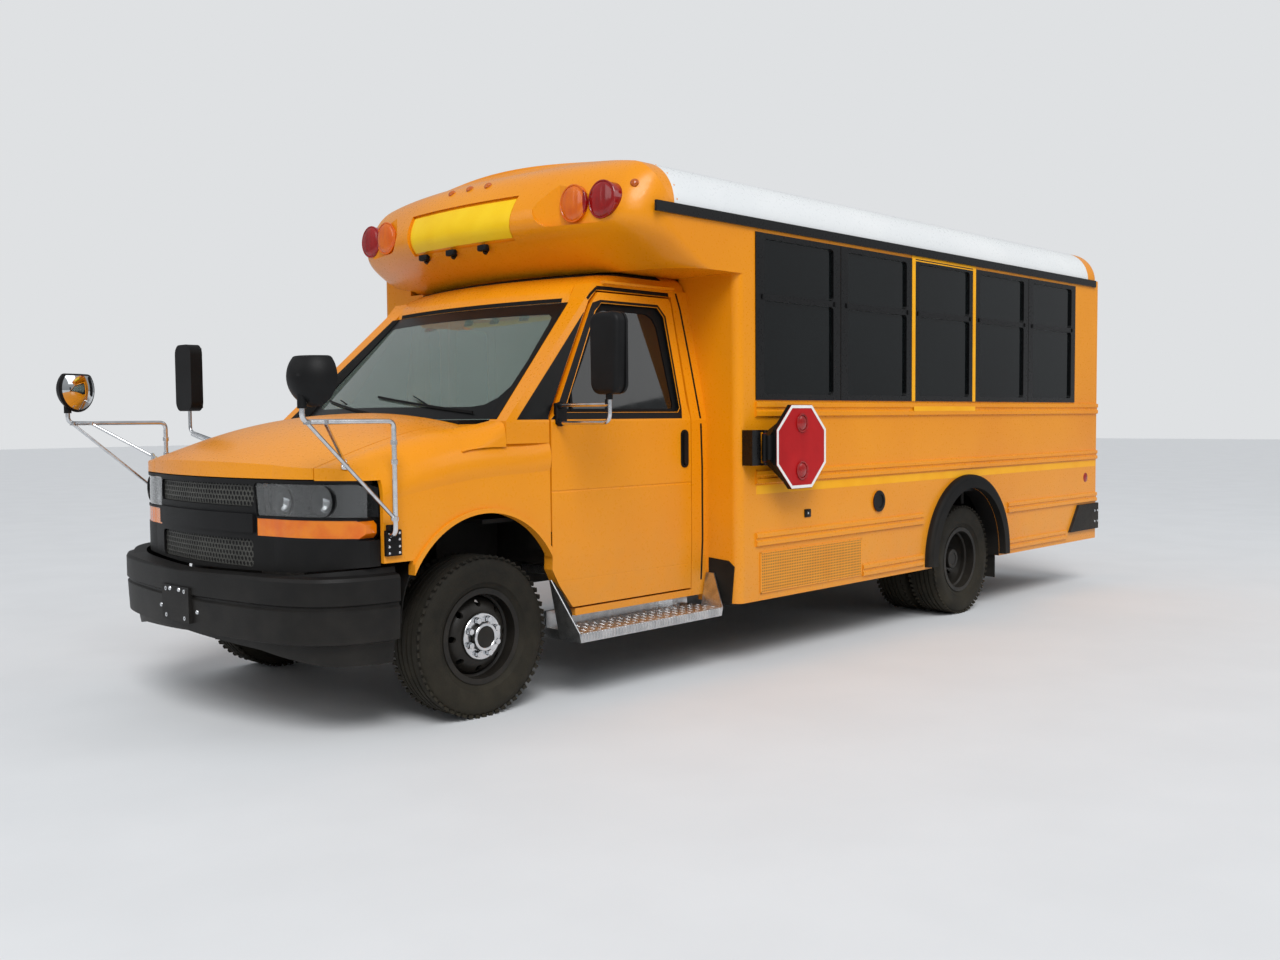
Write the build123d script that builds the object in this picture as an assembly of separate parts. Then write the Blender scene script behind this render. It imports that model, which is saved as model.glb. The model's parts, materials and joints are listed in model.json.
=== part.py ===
from build123d import *

import math
import os

os.makedirs("parts", exist_ok=True)

# Short school bus on a cutaway van chassis. Sizes are in millimetres.
# X runs forward, Y to the bus's left, Z up. X counts from the front axle and Z from the ground,
# and write() shifts every piece to the row's origin under the middle of the bus.
ORIGIN_X = 2542.0

# Clearances
GAP = 10.0
FIT = 0.3
SEAT = 1.0
SEAM = 5.0

# Wheels
WHEELBASE = 4039.0
AXLE = -WHEELBASE
TYRE_RADIUS = 372.0
TYRE_WIDTH = 223.0
BEAD_RADIUS = 203.0
RIM_RADIUS = 220.7
RIM_WIDTH = 152.0
RIM_LIP = 12.0
FRONT_TRACK = 1746.0
DUAL_OUTER = 1079.0
DUAL_INNER = 815.0
LUG_CIRCLE = 165.1
LUG_COUNT = 8
KINGPIN_Y = 800.0
KINGPIN = 14.0
SPINDLE = 25.0
REAR_SPINDLE = 40.0

# Passenger body
BODY_HALF = 1219.0
WALL = 40.0
INNER = BODY_HALF - WALL
LEFT_FRONT = -1550.0
RIGHT_FRONT = -1000.0
BODY_REAR = -6163.0
SKIRT = 360.0
EAVE = 2430.0
ROOF_TOP = 2750.0
ROOF_CORNER = 230.0
ROOF_FRONT = -1050.0
ROOF_REAR = BODY_REAR + 190.0
FLOOR_TOP = 750.0
FLOOR_THICK = 40.0
REAR_ARCH = 470.0
REAR_ARCH_Z = 400.0
FLARE_PROUD = 50.0
POST_ROUND = 50.0

# Side windows
WINDOW_FIRST = -1694.0
WINDOW_PITCH = 808.2
WINDOW_COUNT = 5
WINDOW_LOW = 1457.0
WINDOW_HIGH = 2360.0
POST = 30.0
FLANGE = 6.0
GLASS_SIDE = 75.0
GLASS_LOW = 1490.0
GLASS_HIGH = 2330.0
MID_RAIL = 2015.0
GLASS = 6.0

# Doors
ENTRY_FRONT = -1080.0
ENTRY_REAR = -1880.0
ENTRY_LOW = 400.0
ENTRY_TOP = 2050.0
EXIT_HALF = 455.0
EXIT_LOW = 770.0
EXIT_TOP = 2150.0
DOOR_THICK = 36.0
DRIVER_FRONT = -405.0
DRIVER_REAR = -1415.0
DRIVER_LOW = 445.0
DRIVER_THICK = 60.0

# Cab
CAB_HALF = 1000.0
CAB_BELT = 1365.0
CAB_TOP = 2005.0
CAB_TOP_HALF = 865.0
COWL_X = -20.0
HOOD_EDGE = 780.0
ARCH_RADIUS = 450.0
ARCH_Z = 490.0
SKIN = 22.0
LAMP_TOP = 1112.0
FASCIA_LOW = 700.0
CAB_FLOOR = 660.0
CAP_LOW = 2128.0
CAP_NOSE = -604.0
CAP_SKIN = 30.0
POCKET = 16.0

# Frame rails
RAIL_OUT = 430.0
RAIL_IN = 360.0
RAIL_DEPTH = 165.0
RAIL_TOP = 655.0
REAR_RAIL_TOP = 670.0

# Number plate on the front bumper
PLATE_FACE = 992.0
PLATE_WIDE = 178.0
PLATE_TALL = 121.0
PLATE_Z = 545.0
PLATE_HOLE = 3.5

# Hinge lines
DRIVER_HINGE = (-430.0, 988.0)
ENTRY_HINGE_Y = -BODY_HALF - 11.0
EXIT_HINGE = (BODY_REAR - 11.0, -EXIT_HALF - 3.0)
STOP_HINGE = (-1668.0, BODY_HALF + 81.0)
HOOD_HINGE = (-42.0, 1350.0)
HINGE_PIN = 5.0


def outline(points):
    return make_face(Polyline(*points, close=True))


def box(x0, x1, y0, y1, z0, z1):
    size = Box(abs(x1 - x0), abs(y1 - y0), abs(z1 - z0))
    return Pos((x0 + x1) / 2, (y0 + y1) / 2, (z0 + z1) / 2) * size


def side_slab(points, y0, y1):
    """Outline of (x, z) points swept across from y0 to y1."""
    face = outline([(x, y0, z) for x, z in points])
    return extrude(face, amount=abs(y1 - y0), dir=(0, math.copysign(1, y1 - y0), 0))


def plan_slab(points, z0, z1):
    """Outline of (x, y) points swept up from z0 to z1."""
    face = outline([(x, y, z0) for x, y in points])
    return extrude(face, amount=z1 - z0, dir=(0, 0, 1))


def cross_slab(points, x0, x1):
    """Outline of (y, z) points swept back from x0 to x1."""
    face = outline([(x0, y, z) for y, z in points])
    return extrude(face, amount=abs(x1 - x0), dir=(math.copysign(1, x1 - x0), 0, 0))


def side_window(x0, x1, z0, z1, radius, y0, y1):
    """Rounded rectangle in side view swept across from y0 to y1."""
    shape = Box(abs(x1 - x0), abs(y1 - y0), z1 - z0)
    shape = fillet(shape.edges().filter_by(Axis.Y), radius)
    return Pos((x0 + x1) / 2, (y0 + y1) / 2, (z0 + z1) / 2) * shape


def rear_window(y0, y1, z0, z1, radius, x0, x1):
    """Rounded rectangle in rear view swept along from x0 to x1."""
    shape = Box(abs(x1 - x0), abs(y1 - y0), z1 - z0)
    shape = fillet(shape.edges().filter_by(Axis.X), radius)
    return Pos((x0 + x1) / 2, (y0 + y1) / 2, (z0 + z1) / 2) * shape


def rod(start, end, radius):
    """Round bar from one point to another."""
    line = Vector(*end) - Vector(*start)
    place = Plane(origin=start, z_dir=line)
    return place * Cylinder(radius, line.length, align=(Align.CENTER, Align.CENTER, Align.MIN))


def tube_run(points, radius):
    """Bent tube: straight bars with a ball at each bend."""
    run = rod(points[0], points[1], radius)
    for start, end in zip(points[1:], points[2:]):
        run += rod(start, end, radius) + Pos(*start) * Sphere(radius)
    return run


def drum(x, z, radius, y0, y1):
    """Round bar across the bus."""
    return rod((x, min(y0, y1), z), (x, max(y0, y1), z), radius)


def other_side(shape):
    return mirror(shape, about=Plane.XZ)


def both_sides(shape):
    return [shape, other_side(shape)]


def joined(pieces):
    """One solid from pieces that touch."""
    whole = pieces[0]
    for piece in pieces[1:]:
        whole = whole + piece
    return whole


def upright_hinge(axis, low, high, arm, tab, pin_radius, barrel_radius):
    """Hinge on an upright pin: a fixed arm above and below, and a turning barrel with its tab.
    arm and tab are outlines of (x, y) points."""
    x, y = axis
    fixed = rod((x, y, low - 9), (x, y, high + 9), pin_radius)
    fixed += plan_slab(arm, low - 9, low - 1) + plan_slab(arm, high + 1, high + 9)
    barrel = rod((x, y, low), (x, y, high), barrel_radius) + plan_slab(tab, low, high)
    return fixed, barrel - rod((x, y, low - 1), (x, y, high + 1), pin_radius + FIT)


def write(name, *shapes):
    """One STEP file with every solid of the node."""
    solids = [solid for shape in shapes for solid in shape.solids()]
    moved = [solid.moved(Location((ORIGIN_X, 0, 0))) for solid in solids]
    export_step(Compound(label=name, children=moved), "parts/" + name + ".step")


# Roof section: vertical sides, a round corner and a shallow crown, as a face at one x
def roof_face(x, inset, bottom):
    half = BODY_HALF - inset
    corner = ROOF_CORNER - inset
    centre_y = BODY_HALF - ROOF_CORNER
    rise = ROOF_TOP - EAVE
    crown = (centre_y**2 + rise**2 - ROOF_CORNER**2) / (2 * (rise - ROOF_CORNER))
    centre_z = ROOF_TOP - crown
    reach = math.hypot(centre_y, EAVE - centre_z)
    lean = (centre_y / reach, (EAVE - centre_z) / reach)
    top_y = centre_y + corner * lean[0]
    top_z = EAVE + corner * lean[1]
    half_angle = math.atan2(lean[1], lean[0]) / 2
    mid_y = centre_y + corner * math.cos(half_angle)
    mid_z = EAVE + corner * math.sin(half_angle)
    edges = [
        Line((x, -half, bottom), (x, half, bottom)),
        ThreePointArc((x, half, EAVE), (x, mid_y, mid_z), (x, top_y, top_z)),
        ThreePointArc((x, top_y, top_z), (x, 0, ROOF_TOP - inset), (x, -top_y, top_z)),
        ThreePointArc((x, -top_y, top_z), (x, -mid_y, mid_z), (x, -half, EAVE)),
    ]
    if bottom < EAVE:
        edges += [Line((x, side * half, bottom), (x, side * half, EAVE)) for side in (1, -1)]
    return make_face(edges)


def roof_run(x0, x1, inset, bottom):
    return extrude(roof_face(x0, inset, bottom), amount=x0 - x1, dir=(-1, 0, 0))


# Wheels
def turned(edges, y):
    """Section of (0, across, radius) edges turned about the axle line at y."""
    return Pos(0, y, TYRE_RADIUS) * revolve(make_face(edges), axis=Axis.Y)


def tyre(y):
    """Round-shouldered section, bead to bead."""
    half = TYRE_WIDTH / 2
    bead = RIM_WIDTH / 2
    seat = BEAD_RADIUS + FIT
    ankle = RIM_RADIUS + SEAM
    belly = (RIM_RADIUS + TYRE_RADIUS) / 2
    shoulder = TYRE_RADIUS - 20
    tread = TYRE_RADIUS - 3
    edges = [Line((0, -bead, seat), (0, bead, seat))]
    for side in (1, -1):
        foot = (0, side * bead, ankle)
        wide = (0, side * (half - 10), shoulder)
        crest = (0, side * (half - 34), tread)
        edges.append(Line((0, side * bead, seat), foot))
        edges.append(ThreePointArc(foot, (0, side * half, belly), wide))
        edges.append(ThreePointArc(wide, (0, side * (half - 18), TYRE_RADIUS - 8), crest))
    across = half - 34
    edges.append(ThreePointArc((0, -across, tread), (0, 0, TYRE_RADIUS), (0, across, tread)))
    return turned(edges, y)


def rim(y, face_y, side):
    """Steel wheel: a drop-centre barrel with two lips and a curved disc bolted at face_y."""
    bead = RIM_WIDTH / 2
    lip = bead + RIM_LIP
    well = 182.0
    barrel = [
        (-lip, BEAD_RADIUS - 8), (-lip, RIM_RADIUS), (-bead, RIM_RADIUS), (-bead, BEAD_RADIUS),
        (bead, BEAD_RADIUS), (bead, RIM_RADIUS), (lip, RIM_RADIUS), (lip, BEAD_RADIUS - 8),
        (30, BEAD_RADIUS - 10), (22, well), (-22, well), (-30, BEAD_RADIUS - 10),
    ]
    ring = revolve(outline([(0, across, radius) for across, radius in barrel]), axis=Axis.Y)
    ring = Pos(0, y, TYRE_RADIUS) * ring
    step = side * 14.0
    root = y - face_y
    disc = [
        Line((0, 0, 66), (0, 0, 112)),
        ThreePointArc((0, 0, 112), (0, root * 0.35, 150), (0, root - step, well + 1)),
        Line((0, root - step, well + 1), (0, root, well + 1)),
        ThreePointArc((0, root, well + 1), (0, root * 0.35 + step, 154), (0, step, 116)),
        Line((0, step, 116), (0, step, 66)),
        Line((0, step, 66), (0, 0, 66)),
    ]
    dish = turned(disc, face_y)
    for index in range(LUG_COUNT):
        angle = 2 * math.pi * index / LUG_COUNT
        x = 150 * math.cos(angle)
        z = TYRE_RADIUS + 150 * math.sin(angle)
        dish -= drum(x, z, 15, face_y - 150, face_y + 150)
    return ring + dish


def hub(y0, y1, radius, plate_y, side):
    """Hub barrel with a bolting plate and lug nuts."""
    shape = drum(0, TYRE_RADIUS, radius, y0, y1)
    shape += drum(0, TYRE_RADIUS, 108, plate_y, plate_y + side * 8)
    for index in range(LUG_COUNT):
        angle = 2 * math.pi * (index + 0.5) / LUG_COUNT
        x = LUG_CIRCLE / 2 * math.cos(angle)
        z = TYRE_RADIUS + LUG_CIRCLE / 2 * math.sin(angle)
        shape += drum(x, z, 13, plate_y, plate_y + side * 32)
    return shape


FRONT_Y = FRONT_TRACK / 2
FRONT_FACE = FRONT_Y + 62
REAR_FACE = (DUAL_OUTER + DUAL_INNER) / 2

front_rim = rim(FRONT_Y, FRONT_FACE, 1) + hub(850, 985, 64, FRONT_FACE + 14, 1)
front_rim += drum(0, TYRE_RADIUS, 150, 838, 862)
front_rim -= drum(0, TYRE_RADIUS, SPINDLE + FIT, 830, 951)
rear_rims = rim(DUAL_OUTER, REAR_FACE, 1) + rim(DUAL_INNER, REAR_FACE, -1)
rear_rims += hub(REAR_FACE - 60, 1110, 66, REAR_FACE + 14, 1)
rear_rims -= drum(0, TYRE_RADIUS, REAR_SPINDLE + FIT, 800, 981)
rear_rims = Pos(AXLE, 0, 0) * rear_rims
rear_tyres = [Pos(AXLE, 0, 0) * tyre(DUAL_OUTER), Pos(AXLE, 0, 0) * tyre(DUAL_INNER)]

write("tyre_front_left", tyre(FRONT_Y))
write("tyre_front_right", other_side(tyre(FRONT_Y)))
write("wheel_front_left", front_rim)
write("wheel_front_right", other_side(front_rim))
write("tyres_rear_left", *rear_tyres)
write("tyres_rear_right", *[other_side(one) for one in rear_tyres])
write("wheels_rear_left", rear_rims)
write("wheels_rear_right", other_side(rear_rims))

# Steering knuckles: an upright on the kingpin line, a spindle and a steering arm
knuckle = box(-35, 35, 765, 830, 270, 500)
knuckle += drum(0, TYRE_RADIUS, SPINDLE, 825, 950)
knuckle += box(-150, -30, 770, 800, 300, 330)
knuckle -= rod((0, KINGPIN_Y, 260), (0, KINGPIN_Y, 510), KINGPIN + FIT)
write("knuckle_left", knuckle)
write("knuckle_right", other_side(knuckle))

# Chassis frame: two rails with a kick-up over the rear axle, and cross members
# Columns: x, top
rail_top = [
    (780, RAIL_TOP - 15), (-450, RAIL_TOP), (AXLE + 739, RAIL_TOP), (AXLE + 439, 700),
    (AXLE - 461, 700), (AXLE - 761, REAR_RAIL_TOP), (BODY_REAR + 113, REAR_RAIL_TOP),
]
rail_line = rail_top + [(x, top - RAIL_DEPTH) for x, top in reversed(rail_top)]
frame = side_slab(rail_line, RAIL_IN, RAIL_OUT)
frame += other_side(frame)
for x in (740, 200, -1600, -2700, AXLE + 589, AXLE - 661, BODY_REAR + 213):
    frame += box(x - 40, x + 40, -RAIL_IN, RAIL_IN, 540, 600)
write("chassis_frame", frame)

write("engine_block", box(450, -330, -200, 200, 600, 1040) + box(-330, -900, -140, 140, 430, 640))

# Twin front beams with their coil springs and spring towers
YOKE = 735.0
front_beam = box(-38, 38, -320, YOKE, 285, 345) + box(-38, 38, -320, -240, 285, 540)
rear_beam = Pos(110, 0, 0) * (box(-38, 38, -620, 320, 285, 345) + box(-38, 38, 240, 320, 285, 540))
yoke = box(-30, 30, 700, YOKE, 245, 525)
yoke += box(-30, 30, 700, 820, 245, 262) + box(-30, 30, 700, 820, 508, 525)
yoke += rod((0, KINGPIN_Y, 255), (0, KINGPIN_Y, 515), KINGPIN)
spring = rod((60, 600, 345), (60, 600, 640), 62) - rod((60, 600, 345), (60, 600, 640), 40)
axle_cross = box(-60, 155, -RAIL_IN, RAIL_IN, 540, 600)
front_axle = joined([axle_cross, front_beam, yoke, rear_beam, other_side(yoke)])
front_axle += plan_slab([(148, -520), (148, -620), (35, -YOKE), (-30, -YOKE), (-30, -660)], 285, 345)
tower = box(-20, 130, RAIL_OUT, 645, 640, 660) + box(-20, 130, RAIL_OUT, 450, 500, 660)
write("front_axle", front_axle, spring, other_side(spring), tower, other_side(tower))

# Rear axle tube with its differential, driveshaft and leaf springs
tube = drum(AXLE, TYRE_RADIUS, 55, -REAR_FACE + 62, REAR_FACE - 62)
rear_axle = tube + Pos(AXLE, 0, TYRE_RADIUS) * Sphere(165)
rear_axle += drum(AXLE, TYRE_RADIUS, REAR_SPINDLE, -980, 980)
rear_axle += rod((AXLE + 100, 0, 380), (AXLE + 230, 0, 385), 60)
rear_axle += rod((AXLE + 200, 0, 385), (-903, 0, 480), 45)
# Columns: distance from the axle, top
leaf = [(589, 520), (239, 440), (-241, 440), (-661, 520)]
leaf_line = [(AXLE + x, z) for x, z in leaf] + [(AXLE + x, z - 42) for x, z in reversed(leaf)]
leaf_side = side_slab(leaf_line, 460, 535)
for x in (AXLE + 589, AXLE - 661):
    leaf_side += box(x - 30, x + 30, RAIL_OUT, 535, 478, 560)
leaf_side -= drum(AXLE, TYRE_RADIUS, 55 + FIT, 400, 600)
write("rear_axle", rear_axle, *both_sides(leaf_side))

# Exhaust and fuel tank between the axles
pipe = rod((-700, -255, 420), (AXLE + 1739, -255, 420), 32)
muffler = rod((AXLE + 1739, -255, 420), (AXLE + 1089, -255, 420), 95)
tail = rod((AXLE + 1089, -255, 420), (AXLE + 839, -255, 420), 32)
hanger = box(AXLE + 1439, AXLE + 1469, -RAIL_IN, -240, 500, 535)
write("exhaust", joined([pipe, muffler, tail, hanger]))
tank = box(AXLE + 1589, AXLE + 689, 435, 900, 330, 620)
tank = fillet(tank.edges().filter_by(Axis.X), 40)
for x in (AXLE + 1514, AXLE + 764):
    tank += box(x - 25, x + 25, RAIL_OUT, 860, 600, 640)
write("fuel_tank", tank)

# Cab floor with firewall, engine cover, front wheel houses and the door hinge pillars
HOUSE_IN = 545.0
cab_floor = box(-440, LEFT_FRONT, -915, 915, CAB_FLOOR, 690)
cab_floor += box(-60, -440, -HOUSE_IN, HOUSE_IN, CAB_FLOOR, 690)
cab_floor += box(-60, -90, -HOUSE_IN, HOUSE_IN, CAB_FLOOR, CAB_BELT - 35)
cab_floor += box(-60, -90, -755, 755, 900, CAB_BELT - 35)
for side in (1, -1):
    cab_floor += box(-60, -460, side * HOUSE_IN, side * (HOUSE_IN - 18), CAB_FLOOR, 900)
    cab_floor += box(-60, -460, side * HOUSE_IN, side * 900, 880, 900)
    cab_floor += box(-442, -460, side * HOUSE_IN, side * 915, CAB_FLOOR, 900)
    cab_floor += box(-372, -400, side * 860, side * 940, 740, 1240)
cab_floor -= box(-50, -700, -245, 245, 600, 1060)
cover_hole = plan_slab([(-50, -262), (-50, 262), (-732, 210), (-732, -210)], 600, 1065)
cover = plan_slab([(-89, -290), (-89, 290), (-760, 235), (-760, -235)], CAB_FLOOR, 1090)
cab_floor = cab_floor - cover_hole + (cover - cover_hole)
cab_floor -= box(RIGHT_FRONT, -1600, -1000, -520, 600, 700)

# Passenger floor with wheel boxes and the entry steps
STEP_IN = -560.0
floor = box(LEFT_FRONT, BODY_REAR + WALL, -INNER, INNER, FLOOR_TOP - FLOOR_THICK, FLOOR_TOP)
floor += box(RIGHT_FRONT - WALL, LEFT_FRONT, -INNER, -520, FLOOR_TOP - FLOOR_THICK, FLOOR_TOP)
floor -= box(ENTRY_FRONT, ENTRY_REAR, -INNER, STEP_IN, 600, 800)
floor -= box(LEFT_FRONT, LEFT_FRONT - WALL, 920, INNER, 600, 800)
# Cross sills between the rails and the floor. Columns: x, rail top there
sill_table = [
    (-1700, RAIL_TOP), (-2250, RAIL_TOP), (-2800, RAIL_TOP),
    (AXLE - 961, REAR_RAIL_TOP), (AXLE - 1461, REAR_RAIL_TOP), (BODY_REAR + 163, REAR_RAIL_TOP),
]
for x, low in sill_table:
    floor += box(x - 30, x + 30, -1080, 1080, low, FLOOR_TOP - FLOOR_THICK)
floor -= box(ENTRY_FRONT, ENTRY_REAR, -INNER, STEP_IN, 600, FLOOR_TOP - FLOOR_THICK)
for side in (1, -1):
    wheel_box = box(AXLE - 440, AXLE + 440, side * 660, side * INNER, FLOOR_TOP - 40, 860)
    wheel_hole = box(AXLE - 420, AXLE + 420, side * 680, side * INNER, 700, 840)
    floor = floor + wheel_box - wheel_hole
# Columns: tread height, outer y, inner y
steps = [(430, -INNER, -960), (590, -980, -760), (FLOOR_TOP, -780, STEP_IN)]
for top, y0, y1 in steps:
    floor += box(ENTRY_FRONT, ENTRY_REAR, y0, y1, top - 25, top)
for low, high, y in ((405, 590, -980), (565, FLOOR_TOP, -780)):
    floor += box(ENTRY_FRONT, ENTRY_REAR, y, y + 20, low, high)
for x in (ENTRY_FRONT, ENTRY_REAR + 20):
    floor += box(x, x - 20, -INNER, STEP_IN, 405, FLOOR_TOP)
write("bus_floor", floor)

# Front form of the hood and fenders, as sections along X, each one inset for a skin's inner face
# Columns: x, half width, side top, shoulder y, shoulder z, edge y, edge z, centre z
form_table = [
    (-400, 1000, 1120, 975, 1285, 860, 1352, 1408),
    (0, 1000, 1100, 968, 1262, 850, 1330, 1400),
    (300, 998, 1065, 960, 1225, 835, 1292, 1370),
    (600, 988, 1010, 943, 1142, 812, 1208, 1292),
    (780, 978, 975, 928, 1088, 795, 1150, 1225),
    (930, 968, 945, 915, 1040, 780, 1098, 1160),
]


def form_section(row, inset):
    x, half, side_z, mid_y, mid_z, edge_y, edge_z, top = row
    half, mid_y, edge_y = half - inset, mid_y - inset * 0.8, edge_y - inset * 0.5
    mid_z, edge_z, top = mid_z - inset * 0.6, edge_z - inset, top - inset
    low = 300.0
    edges = [
        Line((x, -half, low), (x, half, low)),
        Line((x, half, low), (x, half, side_z)),
        ThreePointArc((x, half, side_z), (x, mid_y, mid_z), (x, edge_y, edge_z)),
        ThreePointArc((x, edge_y, edge_z), (x, 0, top), (x, -edge_y, edge_z)),
        ThreePointArc((x, -edge_y, edge_z), (x, -mid_y, mid_z), (x, -half, side_z)),
        Line((x, -half, side_z), (x, -half, low)),
    ]
    return make_face(edges)


def nose_face(inset, z):
    """Plan outline of the nose at one height."""
    rear = -400.0
    edges = [
        Line((rear, -1100 + inset, z), (rear, 1100 - inset, z)),
        Line((rear, 1100 - inset, z), (400, 1100 - inset, z)),
        Line((400, -1100 + inset, z), (rear, -1100 + inset, z)),
        ThreePointArc((810 - inset, 560, z), (872 - inset, 0, z), (810 - inset, -560, z)),
    ]
    for side in (1, -1):
        wide = (400, side * (1100 - inset), z)
        middle = (700 - inset, side * (860 - inset * 0.7), z)
        edges.append(ThreePointArc(wide, middle, (810 - inset, side * 560, z)))
    return make_face(edges)


def nose_plan(inset, z0, z1):
    return extrude(nose_face(inset, z0), amount=z1 - z0, dir=(0, 0, 1))


def nose_band(inset, depth, z0, z1):
    """Strip that follows the nose, with its outer face at inset."""
    return nose_plan(inset, z0, z1) - nose_plan(inset + depth, z0 - 5, z1 + 5)


def front_form(inset):
    body = loft([form_section(row, inset) for row in form_table])
    return body & nose_plan(inset, 200, 1600)


nose_core = front_form(0)
form = nose_core - front_form(SKIN)
hood = form & box(COWL_X, 950, -HOOD_EDGE, HOOD_EDGE, LAMP_TOP + SEAM, 1500)
hinge_x, hinge_z = HOOD_HINGE
arm_line = [(-48, 1342), (-48, 1358), (-12, 1354), (50, 1351), (50, 1335), (-12, 1338)]
hood_brackets = []
for side in (1, -1):
    arm = side_slab(arm_line, side * 598, side * 612)
    arm += drum(hinge_x, hinge_z, 11, side * 598, side * 612)
    hood = hood + arm - drum(hinge_x, hinge_z, 6 + FIT, side * 590, side * 620)
    for y0, y1 in ((588, 597), (613, 622)):
        hood_brackets.append(box(-60, -34, side * y0, side * y1, 1305, 1360))
    hood_brackets.append(box(-60, -54, side * 588, side * 622, 1305, 1325))
    hood_brackets.append(drum(hinge_x, hinge_z, 6, side * 588, side * 622))
write("hood", hood)

lip = drum(0, ARCH_Z, ARCH_RADIUS + 22, 960, 1012) - drum(0, ARCH_Z, ARCH_RADIUS, 950, 1100)
lip &= box(-395, 425, 900, 1100, 600, 1200)
fender = form & box(-395, 950, HOOD_EDGE + SEAM, 1200, 560, 1500)
fender -= box(545, 950, 700, 1200, 100, LAMP_TOP)
fender += lip & front_form(-14)
fender -= drum(0, ARCH_Z, ARCH_RADIUS, 700, 1200)
fender -= box(400, 560, 700, 1200, 400, 760)
write("fenders", fender, other_side(fender))

# Cowl panel between hood and windshield
cowl_line = [
    (COWL_X - SEAM, -HOOD_EDGE), (COWL_X - SEAM, HOOD_EDGE), (-190, HOOD_EDGE),
    (-90, 400), (-60, 0), (-90, -400), (-190, -HOOD_EDGE),
]
cowl = plan_slab(cowl_line, CAB_BELT - 35, CAB_BELT - 3)
for side in (1, -1):
    cowl -= box(-20, -60, side * 582, side * 628, 1320, 1370)
write("cowl_panel", joined([cowl] + hood_brackets))

# Front fascia: a shell that follows the nose, with two grille openings and a broad bar between
fascia = nose_band(0, 45, FASCIA_LOW, LAMP_TOP)
fascia &= box(550, 950, -972, 972, FASCIA_LOW, LAMP_TOP)
# Columns: y, z of the lower edge and then the upper one
fascia_view = [
    (-1000, 752), (-700, 720), (0, 706), (700, 720), (1000, 752), (1000, 1200), (-1000, 1200),
]
fascia &= cross_slab(fascia_view, 1000, 400)
# Columns: half width, low, high of each grille opening
grille_table = [(430, 726, 850), (440, 992, 1090)]
for half, low, high in grille_table:
    fascia -= rear_window(-half, half, low, high, 25, 700, 950)
# Lamp openings in front view. Columns: y, z
head_view = [(458, 954), (443, 1085), (455, 1098), (940, 1098), (968, 1080), (968, 954)]
turn_view = [(458, 868), (458, 944), (935, 944), (962, 925), (962, 890), (940, 868)]
for view in (head_view, turn_view):
    pocket = cross_slab([(y, z) for y, z in view], 950, 480)
    fascia = fascia - pocket - other_side(pocket)
fascia += nose_band(14, 16, 720, 1095) & box(700, 950, -436, 436, 720, 1095)
fascia += nose_band(-12, 20, 880, 962) & box(700, 950, -445, 445, 880, 962)
for side in (1, -1):
    fascia -= box(500, 950, side * 940, side * 1000, 860, LAMP_TOP)
write("front_fascia", fascia)

headlamp = nose_band(2, 78, 954, 1098) & cross_slab(head_view, 950, 548)
write("headlamps", headlamp, other_side(headlamp))
turn_lamp = nose_band(2, 68, 868, 944) & cross_slab(turn_view, 950, 560)

# Front bumper: one moulded section swept round the nose, with a ledge, a groove and an air dam
# Columns: x, y of the outer face in plan, from the left end to the middle
bumper_half = [(470, 1000), (640, 982), (790, 905), (885, 745), (945, 470), (985, 0)]
bumper_plan = bumper_half + [(x, -y) for x, y in reversed(bumper_half[:-1])]
bumper_path = Spline(*[(x, y, 0) for x, y in bumper_plan])
# Columns: distance in from the outer face, z
bumper_section = [
    (95, 742), (42, 742), (36, 716), (8, 708), (0, 694), (0, 596), (12, 588),
    (12, 578), (3, 570), (10, 432), (48, 420), (70, 300), (95, 300),
]
bumper_face = outline([(470, 1000 - across, z) for across, z in bumper_section])
bumper = sweep(bumper_face, path=bumper_path)
# Columns: y, z of the lower edge and then the upper one
bumper_view = [
    (-1010, 310), (-550, 385), (0, 415), (550, 385), (1010, 310),
    (1010, 745), (700, 712), (0, 698), (-700, 712), (-1010, 745),
]
bumper &= cross_slab(bumper_view, 1000, 400)
for side in (1, -1):
    bumper += box(780, 900, side * RAIL_IN, side * RAIL_OUT, 480, 640)
# Number plate pad with its four bolt holes
bumper += box(930, PLATE_FACE, -130, 130, 465, 625)
for y in (-PLATE_WIDE / 2, PLATE_WIDE / 2):
    for z in (PLATE_Z - PLATE_TALL / 2, PLATE_Z + PLATE_TALL / 2):
        bumper -= rod((860, y, z), (1010, y, z), PLATE_HOLE)
write("front_bumper", bumper)


# Cab side section: upright to the belt, then leaning in to the roof
def cab_section(inset):
    lean = (CAB_HALF - CAB_TOP_HALF) / (CAB_TOP - CAB_BELT)
    return [
        (CAB_HALF - 8 - inset, 400),
        (CAB_HALF - inset, 700),
        (CAB_HALF - inset, CAB_BELT - 15),
        (CAB_TOP_HALF - lean * 60 - inset, CAB_TOP + 60),
    ]


def cab_skin(x0, x1, inset, thick):
    points = cab_section(inset) + list(reversed(cab_section(inset + thick)))
    return cross_slab(points, x0, x1)


# Door, window and opening in side view. Columns: x, z
door_line = [
    (DRIVER_FRONT, 640), (DRIVER_FRONT, CAB_BELT), (DRIVER_FRONT - 30, CAB_BELT + 20),
    (-800, CAB_TOP - 62), (-860, CAB_TOP), (DRIVER_REAR + 25, CAB_TOP), (DRIVER_REAR + 12, CAB_TOP - 20),
    (DRIVER_REAR + 12, CAB_BELT + 75), (DRIVER_REAR, CAB_BELT + 5), (DRIVER_REAR, DRIVER_LOW),
    (-540, DRIVER_LOW), (-450, 560),
]
pane_line = [
    (-500, CAB_BELT + 30), (-820, CAB_TOP - 100), (-870, CAB_TOP - 55), (-1290, CAB_TOP - 55),
    (DRIVER_REAR + 85, CAB_TOP - 105), (DRIVER_REAR + 75, CAB_BELT + 50), (DRIVER_REAR + 95, CAB_BELT + 30),
]
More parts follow.
